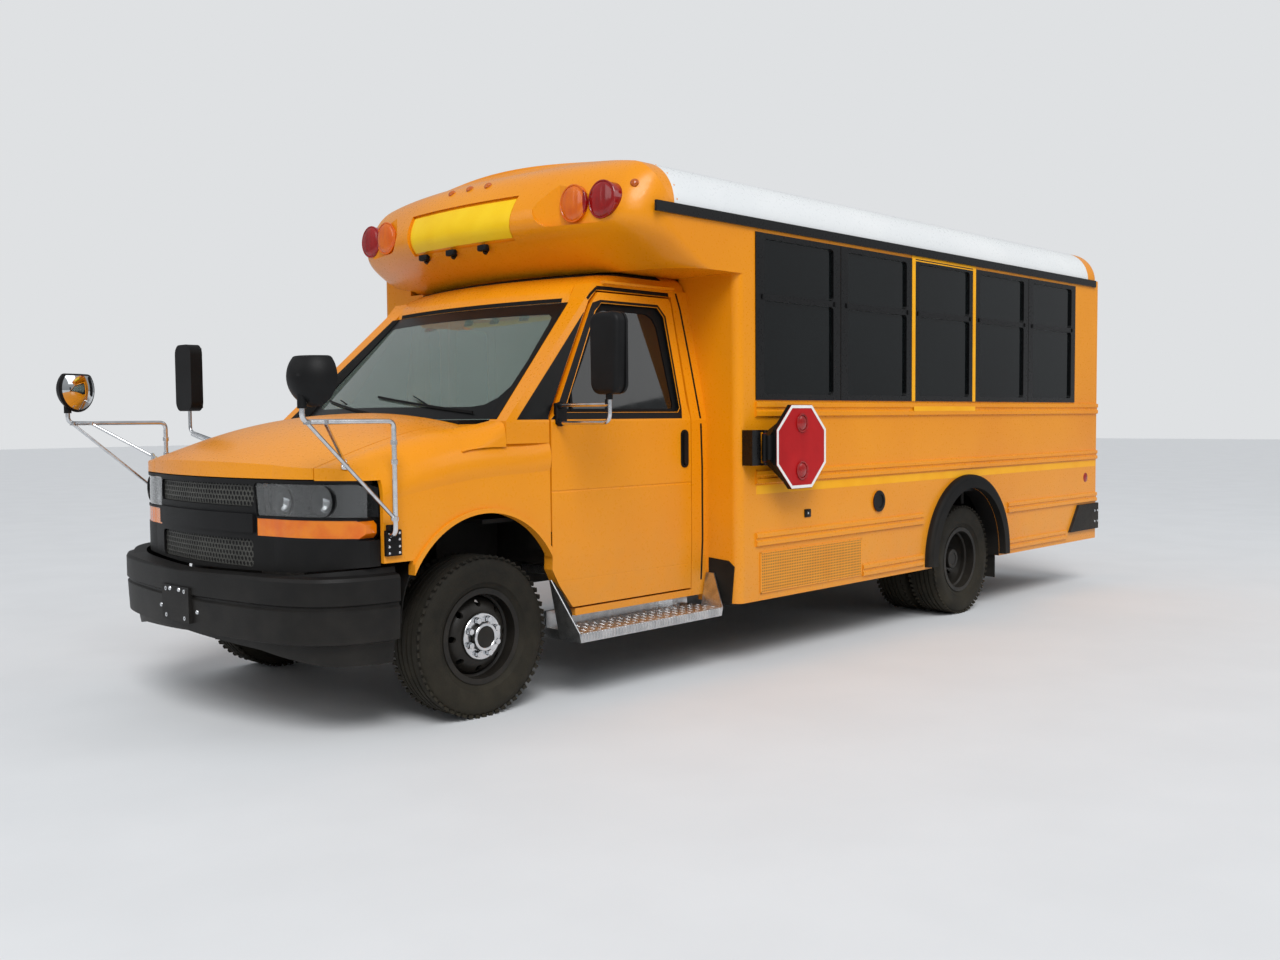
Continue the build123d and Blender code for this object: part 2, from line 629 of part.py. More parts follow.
door = cab_skin(DRIVER_FRONT, DRIVER_REAR, 0, DRIVER_THICK) & side_slab(door_line, 700, 1100)
door -= side_slab(pane_line, 700, 1100)
pane = cab_skin(DRIVER_FRONT, DRIVER_REAR, 25, GLASS) & side_slab(pane_line, 700, 1100)
# Pressed lines along the door. Columns: height, depth
for z, depth in ((1015, 3), (578, 4), (478, 4)):
    door -= rod((DRIVER_FRONT + GAP, CAB_HALF + 5, z), (DRIVER_REAR - GAP, CAB_HALF + 5, z), 5 + depth)
# Handle pocket and its pull
door -= side_window(-1340, -1382, 1098, 1300, 18, 985, 1010)
door += side_window(-1352, -1370, 1110, 1288, 8, 980, 1004)
# Columns: low, high of each door hinge
door_hinges = [(760, 810), (1150, 1200)]
pin_x, pin_y = DRIVER_HINGE
# The arm reaches the pin from inside, clear of the turning door skin. Columns: x, y from the pin
arm_table = [
    (40, -84), (40, -62), (12, -38), (7, -18), (7, 0), (5, 5), (-5, 5), (-7, 0), (-7, -20), (0, -46),
]
door_arm = [(pin_x + x, pin_y + y) for x, y in arm_table]
door_tab = [(pin_x, pin_y - 5), (pin_x, pin_y + 5), (pin_x - 14, pin_y + 5), (pin_x - 14, pin_y - 5)]
pillar_hinges = []
for low, high in door_hinges:
    door -= box(pin_x - 13, pin_x + 30, 930, pin_y + 8, low - 14, high + 14)
    fixed, turning = upright_hinge(DRIVER_HINGE, low, high, door_arm, door_tab, HINGE_PIN, 7.5)
    pillar_hinges.append(fixed)
    door = door + turning
write("driver_door", door)
write("cab_floor", joined([cab_floor] + pillar_hinges))
write("driver_door_glass", pane)

# Driver's mirror: two curved tubes from a bracket on the door, and the head
MIRROR_X = -450.0
bracket = box(MIRROR_X - 45, MIRROR_X + 35, CAB_HALF, CAB_HALF + 12, 1270, 1349)
bend, head_foot = (MIRROR_X, 1330, 1430), (MIRROR_X, 1350, 1500)
upper_tube = tube_run([(MIRROR_X, CAB_HALF + 4, 1335), (MIRROR_X, 1180, 1425), bend, head_foot], 10)
lower_tube = tube_run([(MIRROR_X, CAB_HALF + 4, 1285), (MIRROR_X, 1180, 1350), bend], 10)
head = Box(66, 190, 376)
head = fillet(head.edges().filter_by(Axis.X), 55)
head = fillet(head.faces().sort_by(Axis.X)[-1].edges(), 28)
head = Pos(-440, 1350, 1662) * head
write("driver_mirror", joined([bracket, upper_tube, lower_tube, head]))

# Cab sides: the left frame round the driver's door, the right panel with a quarter window
COLLAR_LOW = CAB_TOP + 47
hole_front = [
    (DRIVER_FRONT + GAP - 1, 1250), (DRIVER_FRONT + GAP - 1, CAB_BELT + 12),
    (-785, CAB_TOP - 48), (-853, CAB_TOP + GAP),
]
pillar_line = hole_front + [
    (-860, COLLAR_LOW), (-832, COLLAR_LOW), (-772, CAB_TOP - 30), (-130, CAB_BELT - 9), (-130, 1250),
]
# The windshield post rises from the cowl to the roof and meets the edge of the glass
POST_DEEP = 124.0
pillar = cab_skin(-100, -900, 4, POST_DEEP) & side_slab(pillar_line, 700, 1100)
pillar -= front_form(-0.5)
frame_line = [
    (-832, COLLAR_LOW), (LEFT_FRONT, COLLAR_LOW), (LEFT_FRONT, 400), (-560, 400),
    (-560, DRIVER_LOW - GAP), (DRIVER_REAR - GAP, DRIVER_LOW - GAP), (DRIVER_REAR - GAP, CAB_BELT + 5),
    (DRIVER_REAR - 3, CAB_TOP + GAP), (-853, CAB_TOP + GAP),
]
cab_left = (cab_skin(-500, LEFT_FRONT, 4, 70) & side_slab(frame_line, 700, 1100)) + pillar
right_line = [
    (-832, COLLAR_LOW), (RIGHT_FRONT, COLLAR_LOW), (RIGHT_FRONT, 400), (-545, 400), (-450, 560),
    (-400, 640), (-400, 1250), (-130, 1250), (-130, CAB_BELT - 9), (-772, CAB_TOP - 30),
]
cab_right = cab_skin(-100, RIGHT_FRONT, 4, 50) & side_slab(right_line, 700, 1100)
cab_right -= front_form(-0.5) & box(-399, 900, 0, 1100, 300, 1500)
cab_right += pillar
quarter_line = [
    (-520, CAB_BELT + 30), (-830, CAB_TOP - 100), (-870, CAB_TOP - 55), (-960, CAB_TOP - 55),
    (-960, CAB_BELT + 30),
]
cab_right -= side_slab(quarter_line, 700, 1100)
write("cab_sides", cab_left, other_side(cab_right))
quarter = cab_skin(-400, RIGHT_FRONT, 20, GLASS) & side_slab(quarter_line, 700, 1100)
body_glass = [other_side(quarter)]


# Windshield: a curved pane from cowl to header
def curved_pane(rows, thick):
    # Columns: z, centre x, corner x, corner y
    faces = []
    for z, centre, corner, half in rows:
        edges = [
            ThreePointArc((corner, -half, z), (centre, 0, z), (corner, half, z)),
            Line((corner, half, z), (corner - thick, half, z)),
            ThreePointArc((corner - thick, half, z), (centre - thick, 0, z), (corner - thick, -half, z)),
            Line((corner - thick, -half, z), (corner, -half, z)),
        ]
        faces.append(make_face(edges))
    return loft(faces, ruled=True)


HEADER = CAB_TOP - 47
write("windshield", curved_pane([(CAB_BELT - 3, -35, -205, 868), (HEADER, -690, -775, 742)], 9))


def nose_outline(nose, front, middle, corner, rear, z):
    """Plan section: a shallow arc across the nose, an arc round each corner, then straight back."""
    def left(point):
        return (point[0], point[1], z)

    def right(point):
        return (point[0], -point[1], z)

    back = (rear, corner[1])
    edges = [
        ThreePointArc(left(front), left(nose), right(front)),
        ThreePointArc(right(front), right(middle), right(corner)),
        Line(right(corner), right(back)),
        Line(right(back), left(back)),
        Line(left(back), left(corner)),
        ThreePointArc(left(corner), left(middle), left(front)),
    ]
    return make_face(edges)


# Cab roof: plan sections that draw in and back from the windshield header to the cap
# Columns: height, nose x, half width, corner depth
roof_table = [
    (HEADER, -686, 842, 80), (CAB_TOP + 10, -712, 846, 84), (CAB_TOP + 60, -762, 838, 90),
    (CAB_TOP + 100, -832, 812, 100), (CAP_LOW, -925, 770, 110),
]


def cab_roof_section(row, inset, rear):
    z, nose, half, depth = row
    nose, half = nose - inset, half - inset
    front, middle = (nose - depth, half - 130), (nose - depth - 45, half - 35)
    corner = (nose - depth - 150, half)
    return nose_outline((nose, 0), front, middle, corner, rear, z)


CAB_ROOF_REAR = -1540.0
cab_roof = loft([cab_roof_section(row, 0, CAB_ROOF_REAR) for row in roof_table])
hollow_rows = [(row[0] - 1 if row[0] == HEADER else row[0] - 26,) + row[1:] for row in roof_table]
cab_roof -= loft([cab_roof_section(row, 24, CAB_ROOF_REAR - 20) for row in hollow_rows])
cab_roof -= box(-850, CAB_ROOF_REAR - 60, -900, 900, 1900, COLLAR_LOW)
# Room for the windshield posts in the front corners
post_room = cab_skin(-600, -862, -20, POST_DEEP + 26)
post_room &= side_slab([(-600, 1900), (-795, COLLAR_LOW), (-862, COLLAR_LOW), (-862, 1900)], 700, 1000)
cab_roof = cab_roof - post_room - other_side(post_room)
# Rain gutter over each door
gutter = box(-900, -1430, 838, 872, COLLAR_LOW, COLLAR_LOW + 14)
cab_roof = cab_roof + gutter + other_side(gutter)
write("cab_roof", cab_roof)

# Front cap: plan sections stepped back with height, cut by the roof section and hollowed
# Columns: height, how far the nose stands back there
cap_table = [
    (CAP_LOW, 330), (2170, 235), (2215, 160), (2250, 104), (2290, 50), (2340, 10), (2390, 0),
    (2440, 10), (2520, 50), (2600, 108), (2660, 190), (2710, 330), (ROOF_TOP + 15, 620),
]


def cap_section(z, back, rear):
    nose = CAP_NOSE - back
    front, middle = (nose - 174, BODY_HALF - 179), (nose - 269, BODY_HALF - 50)
    corner = (nose - 423, BODY_HALF)
    return nose_outline((nose, 0), front, middle, corner, rear, z)


cap_block = loft([cap_section(z, back, WINDOW_FIRST) for z, back in cap_table])
cap_outer = cap_block & roof_run(-400, WINDOW_FIRST, 0, CAP_LOW)


def cap_sunk(depth):
    """The cap's outer form moved back, to leave a skin or a pocket of that depth in its face."""
    return Pos(-depth, 0, 0) * cap_outer


# Lamp pockets with a floor that faces straight ahead and runs out towards the sign
# Columns: x, y of the room ahead of the floor, in plan
pocket_plan = [(-400, 590), (-668, 590), (-752, 706), (-776, 1150), (-400, 1150)]
pocket = rear_window(590, 1150, 2336, 2552, 100, -400, -900) & plan_slab(pocket_plan, 2300, 2600)
pockets = joined([pocket, other_side(pocket)])
hollow = cap_sunk(CAP_SKIN) & roof_run(-400, WINDOW_FIRST - 50, CAP_SKIN, CAP_LOW + CAP_SKIN)
cap = cap_outer - (hollow - Pos(-POCKET, 0, 0) * pockets) - pockets
# Openings into the body behind the cap, and down to the cab
cap -= roof_run(ROOF_FRONT, WINDOW_FIRST - GAP, -50, EAVE)
cap -= box(RIGHT_FRONT, WINDOW_FIRST - GAP, -1300, -900, CAP_LOW - 10, EAVE)
cap -= box(-1110, WINDOW_FIRST - GAP, -1150, 740, CAP_LOW - 10, CAP_LOW + 40)
cap -= box(LEFT_FRONT, WINDOW_FIRST - GAP, 700, INNER, CAP_LOW - 10, CAP_LOW + 40)
# Shallow pocket for the sign, sunk into the skin
sign_view = [(-437, 2292), (437, 2292), (462, 2522), (-462, 2522)]
cap -= cross_slab(sign_view, -500, -1000) - cap_sunk(POCKET)
# Front warning lamps sit in round seats. Columns: y, z, x of the lens
lamp_table = [(810, 2444, -742), (996, 2444, -762)]
LAMP_RADIUS = 90.0
for y, z, x in lamp_table:
    seat = rod((x - 90, y, z), (-400, y, z), LAMP_RADIUS + FIT)
    cap = cap - seat - other_side(seat)
write("front_cap", cap)

# Roof and rear cap
roof = roof_run(ROOF_FRONT, ROOF_REAR, 0, EAVE)
roof -= roof_run(ROOF_FRONT + GAP, ROOF_REAR - GAP, WALL, EAVE - GAP)
write("roof", roof)
rear_cap = roof_run(ROOF_REAR, BODY_REAR, 0, EAVE)
back_edges = rear_cap.edges().filter_by_position(Axis.X, BODY_REAR - 1, BODY_REAR + 1)
rear_cap = fillet(back_edges.filter_by(lambda e: e.center().Z > EAVE + 20), 70)
rear_cap -= roof_run(ROOF_REAR + GAP, BODY_REAR + WALL, WALL, EAVE - GAP)
write("rear_cap", rear_cap)


# Body sides with window, door and wheel openings
def window_numbers(side):
    """The right side's first window place is the entry door's."""
    return range(0 if side > 0 else 1, WINDOW_COUNT)


def body_side(side, front):
    wall = side_slab(
        [(front, SKIRT), (front, EAVE), (BODY_REAR, EAVE), (BODY_REAR, SKIRT)],
        side * INNER, side * BODY_HALF,
    )
    y0, y1 = side * (INNER - 60), side * (BODY_HALF + 80)
    for index in window_numbers(side):
        start = WINDOW_FIRST - index * WINDOW_PITCH - POST / 2
        end = start - WINDOW_PITCH + POST
        wall -= box(start, end, y0, y1, WINDOW_LOW + 15, WINDOW_HIGH - 15)
    wall -= drum(AXLE, REAR_ARCH_Z, REAR_ARCH, y0, y1)
    wall -= box(AXLE - REAR_ARCH, AXLE + REAR_ARCH, y0, y1, 300, REAR_ARCH_Z)
    if side < 0:
        wall -= box(ENTRY_FRONT, ENTRY_REAR, y0, y1, 300, ENTRY_TOP)
    return wall


left_side = body_side(1, WINDOW_FIRST)
right_side = body_side(-1, RIGHT_FRONT - 60)


# Front returns, from the narrow cab out to the wide body, with a round outer corner
def front_return(front, rear, top):
    slant = POST_ROUND * (1 - math.sqrt(0.5))
    start = (front, BODY_HALF - POST_ROUND, SKIRT)
    middle = (front - slant, BODY_HALF - slant, SKIRT)
    end = (front - POST_ROUND, BODY_HALF, SKIRT)
    edges = [
        Line((front, 930, SKIRT), start),
        ThreePointArc(start, middle, end),
        Line(end, (rear, BODY_HALF, SKIRT)),
        Line((rear, BODY_HALF, SKIRT), (rear, INNER, SKIRT)),
        Line((rear, INNER, SKIRT), (front - WALL, INNER, SKIRT)),
        Line((front - WALL, INNER, SKIRT), (front - WALL, 930, SKIRT)),
        Line((front - WALL, 930, SKIRT), (front, 930, SKIRT)),
    ]
    return extrude(make_face(edges), amount=top - SKIRT, dir=(0, 0, 1))


left_return = front_return(LEFT_FRONT, WINDOW_FIRST, CAP_LOW)
right_return = front_return(RIGHT_FRONT, RIGHT_FRONT - 60, EAVE)
# Above the belt they reach in to the cab side, which leans away, and round the cab roof
roof_form = loft([cab_roof_section(row, -FIT, CAB_ROOF_REAR) for row in roof_table])
left_return += box(LEFT_FRONT, LEFT_FRONT - WALL, 800, 931, CAB_BELT, CAP_LOW)
right_return += box(RIGHT_FRONT, RIGHT_FRONT - WALL, 800, 931, CAB_BELT, CAP_LOW) - roof_form - gutter
right_return = other_side(right_return)

# Rear wall with its door opening and two fixed windows
rear_wall = box(BODY_REAR, BODY_REAR + WALL, -INNER, INNER, 450, EAVE)
rear_wall -= box(
    BODY_REAR - 10, BODY_REAR + 100, -EXIT_HALF - 6, EXIT_HALF + GAP, EXIT_LOW - GAP, EXIT_TOP + GAP)
# Columns: inner y, outer y, low, high
REAR_PANE = (600, 1010, 1480, 2080)
for side in (1, -1):
    y0, y1, z0, z1 = REAR_PANE
    rear_wall -= rear_window(side * y0, side * y1, z0, z1, 60, BODY_REAR - 10, BODY_REAR + 100)
    body_glass.append(
        rear_window(side * y0, side * y1, z0, z1, 60, BODY_REAR + 12, BODY_REAR + 12 + GLASS))

# Window frames with two sashes each, and their panes
frames = []
for side in (1, -1):
    face = side * BODY_HALF
    for index in window_numbers(side):
        start = WINDOW_FIRST - index * WINDOW_PITCH
        end = start - WINDOW_PITCH
        ring = box(start - 3, end + 3, face, face + side * FLANGE, WINDOW_LOW, WINDOW_HIGH)
        ring += box(
            start - POST / 2 - SEAT, end + POST / 2 + SEAT, face - side * 30, face,
            WINDOW_LOW + 16, WINDOW_HIGH - 16)
        for low, high in ((GLASS_LOW, MID_RAIL - 18), (MID_RAIL + 18, GLASS_HIGH)):
            x0, x1 = start - GLASS_SIDE, end + GLASS_SIDE
            ring -= side_window(x0, x1, low, high, 22, face - side * 60, face + side * 60)
            pane_y = face - side * 10
            body_glass.append(side_window(x0, x1, low, high, 22, pane_y, pane_y - side * GLASS))
        frames.append(ring)
write("window_frames", *frames)
write("body_glass", *body_glass)

# Rub rails, each a pair of ridges with a sunk middle
# Columns: low, high, front x, rear x on the left side
RAIL_PROUD = 14.0
rail_table = [
    (1364, 1450, WINDOW_FIRST, BODY_REAR),
    (999, 1075, WINDOW_FIRST, BODY_REAR),
    (657, 735, WINDOW_FIRST, AXLE + 590),
    (657, 735, AXLE - 590, BODY_REAR),
    (389, 465, -2740, AXLE + 590),
    (389, 465, AXLE - 590, BODY_REAR + 563),
]
rails = []
for side in (1, -1):
    base = side * BODY_HALF
    out = base + side * RAIL_PROUD
    mid = base + side * 6
    for low, high, front, rear in rail_table:
        start = front if side > 0 else min(front, ENTRY_REAR - 40)
        sink = (high - low) * 0.36
        points = [
            (base, low), (out, low + 6), (out, low + sink), (mid, low + sink + 6),
            (mid, high - sink - 6), (out, high - sink), (out, high - 6), (base, high),
        ]
        rails.append(cross_slab(points, start, rear))
# Perforated heater grille and the round fuel door on the left skirt
rails.append(box(-1730, -2728, BODY_HALF, BODY_HALF + 4, 398, 625))
rails.append(drum(-2918, 840, 62, BODY_HALF, BODY_HALF + 6))
write("rub_rails", *rails)
drips = []
for side, start in ((1, -905), (-1, RIGHT_FRONT - 60)):
    face = side * BODY_HALF
    drips.append(box(start, BODY_REAR + 63, face, face + side * RAIL_PROUD, 2378, EAVE))
write("drip_rails", *drips)

# Rear wheel flares and mud flaps
flare = drum(AXLE, REAR_ARCH_Z, 560, BODY_HALF, BODY_HALF + FLARE_PROUD)
flare -= drum(AXLE, REAR_ARCH_Z, REAR_ARCH, BODY_HALF - 20, BODY_HALF + 80)
flare &= box(AXLE - 600, AXLE + 600, BODY_HALF - 20, BODY_HALF + 80, 375, 1100)
flare_rim = flare.edges().filter_by(GeomType.CIRCLE).filter_by_position(
    Axis.Y, BODY_HALF + FLARE_PROUD - 1, BODY_HALF + FLARE_PROUD + 1)
flare = fillet(flare_rim.sort_by(Axis.Z)[-1:], 30)
write("rear_flares", *both_sides(flare))
flap = box(AXLE - 480, AXLE - 490, 700, INNER - 2, 200, FLOOR_TOP - FLOOR_THICK)
splash_line = [
    (-396, 580), (-450, 345), (-530, 345), (-530, 420), (-466, 525), (-440, 550), (-416, 580),
]
splash = side_slab(splash_line, 985, 998)
# Moulded guard at the foot of the left return
guard_view = [(1012, 352), (1012, 600), (1150, 590), (1190, 560), (BODY_HALF - POST_ROUND, 352)]
guard = cross_slab(guard_view, LEFT_FRONT + 6, LEFT_FRONT)
write("splash_guards", *both_sides(flap), splash, guard)

# Running board under the driver's door: a tread, a kick plate and a sloping plate at each end
tread = side_slab([(-444, 300), (-449, 345), (-1490, 345), (-1482, 300)], 880, 1150)
tread += box(-449, -1490, 880, 900, 345, 425)
end_view = cross_slab([(1001, 300), (1150, 300), (1150, 345), (1012, 595), (1001, 595)], -370, -1560)
front_end = side_slab([(-379, 595), (-444, 300), (-450, 300), (-385, 595)], 900, 1160) & end_view
rear_end = side_slab([(-1480, 300), (-1534, 518), (-1541, 518), (-1487, 300)], 900, 1160) & end_view
board = joined([tread, front_end, rear_end])
for x in (-700, -1300):
    board += box(x, x - 40, RAIL_OUT, 881, 560, 600) + box(x, x - 40, 841, 881, 340, 600)
write("running_board", board)

# Mirror posts and braces on the front fenders, and the mirror heads
POST_X = 525.0
plate = box(POST_X - 60, POST_X + 18, 980, 1004, 790, 900) - front_form(-FIT)
# Columns: x, y, z
post_bends = [
    (POST_X, 1001, 880), (POST_X, 1050, 880), (POST_X, 1050, 1360), (1000, 1130, 1360), (1000, 1130, 1412),
]
post = tube_run(post_bends, 15)
brace = rod((930, 1118, 1360), (POST_X, 1050, 950), 11)
crossview = joined([plate, post, brace])
right_arm = tube_run([(180, -940, 1200), (240, -1350, 1300), (240, -1350, 1424)], 12)
right_arm += rod((120, -950, 1160), (240, -1350, 1300), 10)
right_arm -= other_side(front_form(-FIT))
write("mirror_tubes", crossview, other_side(crossview), right_arm)


def dome(centre, toward, foot_x):
    """Mirror head between two spheres: a deep back, a bulging face towards a point, a flat top."""
    rim, bulge, deep = 118.0, 34.0, 86.0
    face_radius = (rim**2 + bulge**2) / (2 * bulge)
    back_radius = (rim**2 + deep**2) / (2 * deep)
    shape = Pos(0, 0, bulge - face_radius) * Sphere(face_radius)
    shape &= Pos(0, 0, back_radius - deep) * Sphere(back_radius)
    shape -= Pos(0, 180, 0) * Box(400, 200, 400)
    shape = fillet(shape.edges().filter_by_position(Axis.Y, 79, 81), 16)
    x, y, z = centre
    place = Plane(origin=centre, x_dir=(-toward[1], toward[0], 0), z_dir=toward)
    return place * shape + rod((foot_x, y, z - 123), (foot_x, y, z - 60), 18)


right_head = Box(70, 190, 376)
right_head = fillet(right_head.edges().filter_by(Axis.X), 55)
right_head = Pos(240, -1350, 1612) * right_head
left_dome = dome((950, 1130, 1535), (-0.93, -0.33, 0), 1000)
right_dome = dome((950, -1130, 1535), (-0.4, 0.92, 0), 1000)
heads = [left_dome, right_dome, right_head]
write("mirror_heads", *heads)

# Warning lamps in the caps and tail lamps in the rear wall
warning = []
for y, z, x in lamp_table:
    lamp = rod((x - 75, y, z), (x, y, z), LAMP_RADIUS)
    warning.extend(both_sides(lamp))
for y, z in ((700, 2300), (930, 2300)):
    lamp = rod((BODY_REAR, y, z), (BODY_REAR - 30, y, z), 88)
    warning.extend(both_sides(lamp))
write("warning_lamps", *warning)
signal = [turn_lamp, other_side(turn_lamp)]
for y, z in ((1050, 1160), (1050, 950)):
    lamp = rod((BODY_REAR, y, z), (BODY_REAR - 20, y, z), 88)
    signal.extend(both_sides(lamp))
write("signal_lamps", *signal)

# Rear bumper: a channel that wraps the corners
BUMPER_TOP = 645.0
BUMPER_OUT = BODY_HALF + 21.0
bumper = box(BODY_REAR, BODY_REAR - 36, -BUMPER_OUT, BUMPER_OUT, 440, BUMPER_TOP)
bumper = fillet(bumper.edges().filter_by(Axis.Z).sort_by(Axis.X)[:2], 30)
wing_line = [
    (BODY_REAR, 440), (BODY_REAR, BUMPER_TOP), (BODY_REAR + 353, BUMPER_TOP), (BODY_REAR + 513, 440),
]
for side in (1, -1):
    bumper += side_slab(wing_line, side * BODY_HALF, side * BUMPER_OUT)
write("rear_bumper", bumper)


# Entry door leaves on the right side, with their panes
def leaf_solid(x0, x1, edge, back):
    """back is +1 where the jamb lies ahead of the leaf and -1 where it lies behind."""
    out = -BODY_HALF
    leaf = box(x0, x1, out, out + DOOR_THICK, ENTRY_LOW + GAP, ENTRY_TOP - GAP)
    panes = []
    for low, high in ((560, 1180), (1260, 1960)):
        leaf -= side_window(x0 - 55, x1 + 55, low, high, 40, out - 10, out + 100)
        panes.append(side_window(x0 - 55, x1 + 55, low, high, 40, out + 14, out + 14 + GLASS))
    axis = (edge - back * 3, ENTRY_HINGE_Y)
    arm = [
        (edge + back * 24, out), (edge + back * 24, out - 10), (axis[0], out - 16),
        (axis[0] - back * 5, out - 11), (edge, out),
    ]
    tab = [
        (axis[0], out - 15), (axis[0] - back * 26, out - 6), (axis[0] - back * 26, out),
        (axis[0] - back * 3, out),
    ]
    arms = []
    for low in (560, 1180, 1880):
        fixed, turning = upright_hinge(axis, low, low + 60, arm, tab, HINGE_PIN, 8)
        arms.append(fixed)
        leaf += turning
    return leaf, panes, arms


entry_mid = (ENTRY_FRONT + ENTRY_REAR) / 2
front_leaf, front_panes, front_arms = leaf_solid(ENTRY_FRONT - 6, entry_mid + 6, ENTRY_FRONT, 1)
rear_leaf, rear_panes, rear_arms = leaf_solid(entry_mid - 6, ENTRY_REAR + 6, ENTRY_REAR, -1)
write("body_sides", left_side, joined([right_side] + front_arms + rear_arms))
write("entry_leaf_front", front_leaf)
write("entry_glass_front", *front_panes)
write("entry_leaf_rear", rear_leaf)
write("entry_glass_rear", *rear_panes)

# Rear emergency door
exit_door = box(BODY_REAR, BODY_REAR + DOOR_THICK, -EXIT_HALF, EXIT_HALF, EXIT_LOW, EXIT_TOP)
exit_panes = []
for low, high in ((860, 1300), (1440, 2060)):
    exit_door -= rear_window(-350, 350, low, high, 50, BODY_REAR - 10, BODY_REAR + 100)
    exit_panes.append(rear_window(-350, 350, low, high, 50, BODY_REAR + 14, BODY_REAR + 14 + GLASS))
exit_door += box(BODY_REAR, BODY_REAR - 30, 395, 415, 1345, 1365)
exit_door += box(BODY_REAR - 20, BODY_REAR - 30, 270, 415, 1345, 1365)
hinge_x, hinge_y = EXIT_HINGE
wall_arm = [
    (BODY_REAR, hinge_y - 40), (hinge_x + 3, hinge_y - 40), (hinge_x - 5, hinge_y - 5),
    (hinge_x - 5, hinge_y + 2), (BODY_REAR, hinge_y - 4),
]
leaf_tab = [
    (BODY_REAR, hinge_y + 40), (hinge_x + 4, hinge_y + 40), (hinge_x - 5, hinge_y + 4),
    (hinge_x, hinge_y - 4), (BODY_REAR, hinge_y + 4),
]
for low in (900, 1350, 1900):
    fixed, turning = upright_hinge(EXIT_HINGE, low, low + 80, wall_arm, leaf_tab, HINGE_PIN, 9)
    rear_wall += fixed
    exit_door += turning
write("end_walls", left_return, right_return, rear_wall)
write("exit_door", exit_door)
write("exit_door_glass", *exit_panes)

# Stop arm: the hinge box on the body and the octagon sign
STOP_X = -1940.0
STOP_Z = 1200.0
STOP_FLATS = 457.0
stop_x, stop_y = STOP_HINGE
hinge_box = box(-1581, -1655, BODY_HALF, BODY_HALF + 69, 1105, 1295)
for z in (1105, 1283):
    hinge_box += box(-1655, -1682, BODY_HALF + 51, BODY_HALF + 93, z, z + 12)
hinge_box += rod((stop_x, stop_y, 1105), (stop_x, stop_y, 1295), 6)
write("stop_arm_box", hinge_box)
corner = STOP_FLATS / 2
cut = corner * math.tan(math.radians(22.5))
octagon = [
    (corner, -cut), (corner, cut), (cut, corner), (-cut, corner),
    (-corner, cut), (-corner, -cut), (-cut, -corner), (cut, -corner),
]
sign = side_slab([(STOP_X + x, STOP_Z + z) for x, z in octagon], stop_y + 25, stop_y + 50)
sign += box(stop_x - 2, stop_x - 92, stop_y + 7, stop_y + 26, 1140, 1260)
sign += rod((stop_x, stop_y, 1125), (stop_x, stop_y, 1275), 12)
sign -= rod((stop_x, stop_y, 1100), (stop_x, stop_y, 1300), 6 + FIT)
write("stop_sign", sign)

# Seats, dashboard and steering wheel
cushion = box(-1000, -1450, 240, 720, 900, 1020)
cushion = fillet(cushion.edges().filter_by(Axis.Y), 40)
back = side_slab([(-1400, 960), (-1340, 1000), (-1440, 1650), (-1520, 1650), (-1480, 960)], 260, 700)
back = fillet(back.edges().filter_by(Axis.Y).sort_by(Axis.Z)[-2:], 25)
pedestal = box(-1080, -1380, 300, 660, 690, 910)
write("driver_seat", cushion + back + pedestal)
# Columns: distance forward of the seat's own x, z
bench_line = [(330, 1080), (330, 1200), (-20, 1190), (-110, 1760), (-190, 1760), (-120, 1070)]
seats = []
for side in (1, -1):
    for index in range(5 if side > 0 else 4):
        x = -2020 - index * 790 - (0 if side > 0 else 400)
        bench = side_slab([(x + dx, z) for dx, z in bench_line], side * 240, side * INNER)
        bench = fillet(bench.edges().filter_by(Axis.Y).sort_by(Axis.Z)[-2:], 30)
        bench += box(x + 150, x + 110, side * 300, side * 340, FLOOR_TOP, 1090)
        seats.append(bench)
write("passenger_seats", *seats)
dash_line = [(-90, 1080), (-90, 1290), (-330, 1310), (-470, 1240), (-480, 1050), (-330, 960), (-90, 960)]
dash = side_slab(dash_line, -755, 755)
dash = fillet(dash.edges().filter_by(Axis.Y).sort_by(Axis.X)[:3], 25)
dash -= plan_slab([(-80, -293), (-80, 293), (-760, 238), (-760, -238)], 900, 1090)
WHEEL_HUB = (-640.0, 480.0, 1160.0)
COLUMN = (-0.936, 0.0, 0.351)


def on_column(distance):
    """Point on the steering column, counted from the wheel's centre towards the driver."""
    return tuple(centre + distance * step for centre, step in zip(WHEEL_HUB, COLUMN))


dash += rod(on_column(-220), on_column(-32), 30) + rod(on_column(-40), on_column(6), 12)
write("dashboard", dash)
wheel_plane = Plane(origin=WHEEL_HUB, z_dir=COLUMN)
steering = wheel_plane * (Torus(190, 14) + Cylinder(45, 40) + Box(380, 30, 16) + Box(30, 380, 16))
steering -= rod(on_column(-30), on_column(8), 12 + FIT)
write("steering_wheel", steering)
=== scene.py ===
import json
import math

import bmesh
import bpy
from mathutils import Matrix, Vector
from mathutils.bvhtree import BVHTree


